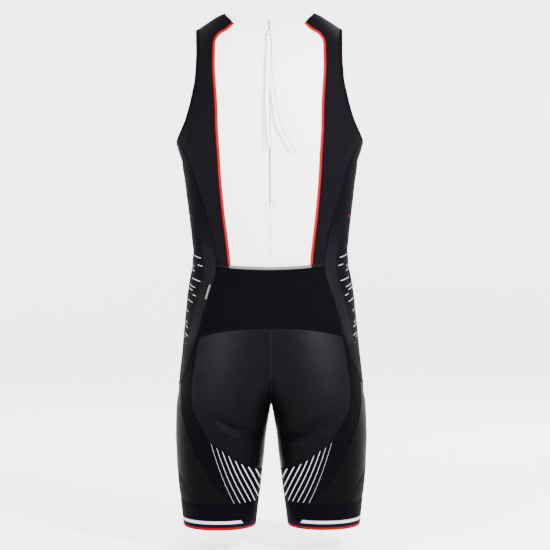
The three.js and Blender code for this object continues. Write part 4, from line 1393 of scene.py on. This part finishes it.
def zip_coil():
    """The zip's teeth: a flat coil of fine wire along the tape."""
    rows = back_middle.marks[back_middle.marks[:, 1] > ZIP_END]
    line, normals = surface_place(rows, 1.0, COIL_LIFT)
    along = length_along(line)
    count = int(along[-1] / COIL_TURN) * COIL_POINTS
    at = np.linspace(0.5, along[-1] - 0.5, count)
    middle = at_lengths(at, along, line)
    out = unit(at_lengths(at, along, normals) * [0, 1, 1])
    angle = np.arange(count) * TURN / COIL_POINTS
    across = np.array([[1.0, 0, 0]])
    wire = middle + COIL_HALF * np.cos(angle)[:, None] * across + COIL_DEEP * np.sin(angle)[:, None] * out
    way = unit(np.gradient(wire, axis=0))
    first = unit(np.cross(way, out))
    second = np.cross(first, way)
    ring = [wire + COIL_WIRE * (first * a + second * b) for a, b in ((1, 0), (0, 1), (-1, 0), (0, -1))]
    points = np.stack(ring, axis=1).reshape(-1, 3)
    faces = grid_faces(count, 4, 0, True, True).tolist()
    faces += [[0, 1, 2, 3], [4 * count - 1, 4 * count - 2, 4 * count - 3, 4 * count - 4]]
    coil = new_mesh("zip_coil", points, faces)
    coil.data.materials.append(thread_finish("coil_plastic", (0.30, 0.30, 0.31)))


SLIDER_LEVEL = -50
SLIDER_BODY = (7.2, 9.8, 1.3)
SLIDER_RISE = 0.9  # from the back's cloth to the middle of the body
BRIDGE = (2.4, 4.4, 0.8)
BRIDGE_RISE = 2.5
BRIDGE_FOOT = 1.1  # length of each foot of the bridge


def block(seat, axes, size, rise):
    """A plain block at its place on the back, with its scale applied, left in edit mode."""
    place = seat + axes.col[2] * rise * MM
    bpy.ops.object.select_all(action="DESELECT")
    scale = [edge * MM for edge in size]
    bpy.ops.mesh.primitive_cube_add(size=1, location=place, rotation=axes.to_euler(), scale=scale)
    bpy.ops.object.transform_apply(location=False, rotation=False, scale=True)
    bpy.ops.object.mode_set(mode="EDIT")
    bpy.ops.mesh.select_all(action="DESELECT")
    return bpy.context.object


def pick(piece, wanted):
    """Selects the faces of the piece in edit mode whose normal the test wants."""
    mesh = bmesh.from_edit_mesh(piece.data)
    for face in mesh.faces:
        face.select_set(bool(wanted(face.normal)))
    bmesh.update_edit_mesh(piece.data)


def zip_slider():
    """The slider: a tapered body with a groove, and the bridge that the ribbon is tied to."""
    points, normals = surface_place([mark(0, SLIDER_LEVEL)])
    out = Vector((0, normals[0][1], normals[0][2])).normalized()
    up = Vector((0, -out.z, out.y))
    axes = Matrix((up.cross(out), up, out)).transposed()
    seat = Vector(points[0]) * MM

    body = block(seat, axes, SLIDER_BODY, SLIDER_RISE)
    pick(body, lambda normal: normal.y > 0.9)
    bpy.ops.transform.resize(value=(0.7, 1, 1))
    pick(body, lambda normal: normal.z > 0.9)
    bpy.ops.mesh.inset(thickness=0.9 * MM)
    bpy.ops.mesh.extrude_region_move()
    bpy.ops.transform.translate(value=out * -0.25 * MM)
    bpy.ops.mesh.select_all(action="SELECT")
    bpy.ops.mesh.bevel(offset=0.22 * MM, segments=2, affect="EDGES")
    bpy.ops.object.mode_set(mode="OBJECT")

    bridge = block(seat, axes, BRIDGE, BRIDGE_RISE)
    for end in (1, -1):
        pick(bridge, lambda normal: normal.y * end > 0.9)
        bpy.ops.mesh.extrude_region_move()
        bpy.ops.transform.translate(value=up * end * BRIDGE_FOOT * MM)
        mesh = bmesh.from_edit_mesh(bridge.data)
        far = max(vertex.co.y * end for vertex in mesh.verts)
        for face in mesh.faces:
            centre = face.calc_center_median()
            face.select_set(face.normal.z < -0.9 and centre.y * end > far - BRIDGE_FOOT * MM)
        bmesh.update_edit_mesh(bridge.data)
        bpy.ops.mesh.extrude_region_move()
        bpy.ops.transform.translate(value=out * -0.75 * MM)
    bpy.ops.mesh.select_all(action="SELECT")
    bpy.ops.mesh.bevel(offset=0.2 * MM, segments=2, affect="EDGES")
    bpy.ops.object.mode_set(mode="OBJECT")

    bpy.ops.object.select_all(action="DESELECT")
    bridge.select_set(True)
    body.select_set(True)
    bpy.context.view_layer.objects.active = body
    bpy.ops.object.join()
    bpy.ops.object.transform_apply(location=True, rotation=True, scale=True)
    bpy.ops.object.shade_smooth_by_angle(angle=35 * DEGREE)
    body.name = "zip_slider_moulded"
    body.data.materials.append(plastic_finish())
    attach(body, "root")
    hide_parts("zip_slider")
    return seat, up, out


# The ribbon's loop over the slider's bridge: how far up the back from the slider's middle, and how far out
LOOP = [[-6.6, 3.1], [-5, 3.35], [-2.5, 3.6], [0.5, 3.75], [2.6, 3.6], [4.2, 3.1], [4.9, 2.3], [4.9, 1.9]]


def ribbon_loop(seat, up, out, steps=26, columns=9):
    """The part of the ribbon that lies over the bridge, from which both tails hang."""
    rows = np.array(LOOP, float)
    along = length_along(rows[:, :2])
    at = np.linspace(0, along[-1], steps)
    high, far = (smooth(along, rows[:, k], at) for k in range(2))
    start = np.array(seat) / MM
    middle = start + np.outer(high, np.array(up)) + np.outer(far, np.array(out)) + [0.7, 0, 0]
    direction = unit(np.gradient(middle, axis=0))
    facing = unit(np.cross([[1.0, 0, 0]], direction))
    facing = facing * np.sign(facing[len(facing) // 2] @ np.array(out))
    share = np.linspace(-0.5, 0.5, columns)
    pinch = 1 - 0.12 * np.sin(at / at[-1] * math.pi)
    grid = middle[:, None] + (pinch[:, None] * share[None] * RIBBON)[..., None] * [1.0, 0, 0]
    grid = grid - facing[:, None] * (0.3 * (2 * share) ** 2)[None, :, None]
    loop = shell("ribbon_loop", Laid(grid, np.broadcast_to(facing[:, None], grid.shape)), RIBBON_WALL)
    loop.data.materials.append(ribbon_weave)


back_pieces()
pocket()
zip_tape()
zip_coil()
ribbon_loop(*zip_slider())
front_pieces()
side_pieces()
seat_and_legs()
cuffs()
bindings()


def sewn(name, rows, finish, slot):
    piece = thread_piece(name, rows)
    piece.data.materials.append(finish)


def both_sides(seams):
    """Flat seams on the left and the right of the suit."""
    return [row for seam in seams for side in (1.0, -1.0) for row in flat_seam(seam, side)]


def plain_row(seam, distance, sides=(1.0, -1.0), lift=0.0, **stitches):
    """A row of stitches at a distance beside a seam, on each of the sides."""
    return [stitch_row(*offset_line(seam, distance, side, lift), **stitches) for side in sides]


# The bar of stitches at the zip's foot
BAR_ROWS = 9
BAR_PITCH = 0.7
BAR_HALF = 12


def threads():
    """The suit's sewing: flat seams between the panels, and rows of topstitching."""
    black = thread_finish("black_thread", (0.0024, 0.0022, 0.0030))
    red = thread_finish("red_thread", (0.20, 0.0014, 0.0028))
    white = thread_finish("white_thread", (0.84, 0.84, 0.86))
    pale = thread_finish("pale_thread", (0.075, 0.075, 0.08))
    arm_inner = arm_bottom_inner + arm_side_inner
    upper = [side_seam_upper, pocket_side, hip_side, side_front_upper, side_front_lower, front_top_legs]
    lower = [seat_side, seat_low, leg_curve, leg_front, hip_top, inseam_back, inseam_front]
    sewn("seams_upper", both_sides(upper), black, "black_cloth")
    sewn("seams_lower", both_sides(lower + [front_rise, seat_top + seat_top_side]), black, "black_cloth")
    rows = []
    for seam in (arm_inner, arm_inner.front()):
        for distance in (-1.3, 1.3):
            rows += plain_row(seam, distance, lift=0.15)
    rows += plain_row(ridge_seam, 0, lift=0.1)
    for seam in (cuff_back, cuff_outer, cuff_front):
        for distance in (-1.2, 1.2):
            rows += plain_row(seam, distance, lift=0.12)
    sewn("topstitching", rows, black, "black_cloth")

    zip_line = Seam(back_middle.marks[back_middle.marks[:, 1] > ZIP_END])
    rows = []
    for distance in (-ZIP_BAND + 1, ZIP_BAND - 1):
        rows += plain_row(zip_line, distance, (1.0,), ZIP_RAISE + 0.05)
    rows += plain_row(neck_back_inner, 0, lift=0.35)
    low_marks = centre_line(ZIP_END - 3, -470, 4)
    rows += plain_row(low_marks, 0, (1.0,), 0.1)
    for step in range(BAR_ROWS):
        level = ZIP_END + 2 - step * BAR_PITCH
        ends = [mark(BAR_HALF, level), mark(0, level)]
        for side in (1.0, -1.0):
            rows.append(stitch_row(*surface_place(ends, side, 0.3), length=2.8, gap=0.2, thread=0.3))
    sewn("white_stitching", rows, white, "white_cloth")

    rows = []
    for seam in (trim_inner, trim_outer):
        rows += plain_row(seam, 0, lift=0.1, length=1.6, gap=1.2, thread=0.22)
    sewn("trim_stitching", rows, red, "red_trim")

    rows = []
    whole = pocket_marks.shape[0] - 1
    for row in (3, whole - 1):
        share = np.linspace(0.5, 1, pocket_marks.shape[1])
        stand = pocket_stand(share, np.full(len(share), row / whole))
        rows += plain_row(Seam(pocket_marks[row]), 0, lift=stand + 0.12)
    down = np.linspace(0, 1, whole + 1)
    for column in (-2, -3):
        share = 1 + (column + 1) * 0.5 / (pocket_marks.shape[1] - 1)
        stand = pocket_stand(np.full(len(down), share), down)
        rows += plain_row(Seam(pocket_marks[:, column]), 0, lift=stand + 0.12)
    sewn("pocket_stitching", rows, black, "pocket_cloth")

    centre = centre_line(-581, -694, 6)
    rows = plain_row(centre, 0, (1.0,), 0.3, length=1.2, gap=2.15, thread=0.5)
    sewn("seat_stitching", rows, pale, "seat_cloth")


threads()


FLOOR = -0.985
ROOM = 5.2  # how far the backdrop stands from the suit
BEND = 1.4  # radius of the curve between the floor and the backdrop
BACKDROP_TOP = 1.6
GLOW = 1.8  # light that the backdrop gives of itself


def floor():
    """A pale round floor that curves up into a backdrop on all sides."""
    flat = ROOM - BEND
    arc = np.linspace(0, math.pi / 2, 13)
    profile = [(flat * share, FLOOR) for share in (0.0, 0.1, 0.3, 0.6)]
    profile += [(flat + BEND * math.sin(a), FLOOR + BEND - BEND * math.cos(a)) for a in arc]
    profile += [(ROOM, BACKDROP_TOP)]
    round_steps = 96
    turns = np.arange(round_steps) * TURN / round_steps
    points = [[r * math.cos(a), r * math.sin(a), z] for r, z in profile[1:] for a in turns]
    faces = grid_faces(len(profile) - 1, round_steps, 0, True, False).tolist()
    faces.append(list(range(round_steps)))
    mesh = bpy.data.meshes.new("backdrop")
    mesh.from_pydata(points, [], faces)
    mesh.shade_smooth()
    backdrop = bpy.data.objects.new("backdrop", mesh)
    bpy.context.scene.collection.objects.link(backdrop)
    finish = Finish("backdrop", 0.9, 0.2)
    finish.shader.inputs["Emission Color"].default_value = (1, 1, 1, 1)
    finish.shader.inputs["Emission Strength"].default_value = GLOW
    colour = finish.mix(finish.noise(2.0) * 0.2, (0.88, 0.88, 0.885), (0.86, 0.86, 0.87))
    mesh.materials.append(finish.done(colour))


AIM = (0, 0, -0.45)  # where every lamp points
LAMPS = [  # place, size and power of each
    [(-1.9, 2.1, 1.45), 0.45, 270],
    [(1.7, 2.3, 1.3), 1.0, 80],
    [(0, 2.6, 1.2), 1.2, 40],
    [(-1.6, -2.3, 1.3), 0.9, 150],
    [(1.8, -2.1, 1.2), 1.0, 80],
    [(0, 0, 3.4), 3.0, 50],
]


def light(place, size, power):
    bpy.ops.object.light_add(type="AREA", location=place)
    lamp = bpy.context.object
    lamp.data.size = size
    lamp.data.energy = power
    toward = Vector(AIM) - Vector(place)
    lamp.rotation_euler = toward.to_track_quat("-Z", "Y").to_euler()


def lights():
    for lamp in LAMPS:
        light(*lamp)
    world = bpy.data.worlds.new("studio")
    bpy.context.scene.world = world
    world.use_nodes = True
    background = world.node_tree.nodes["Background"]
    background.inputs["Color"].default_value = (0.94, 0.95, 0.97, 1)
    background.inputs["Strength"].default_value = 0.3


floor()
lights()
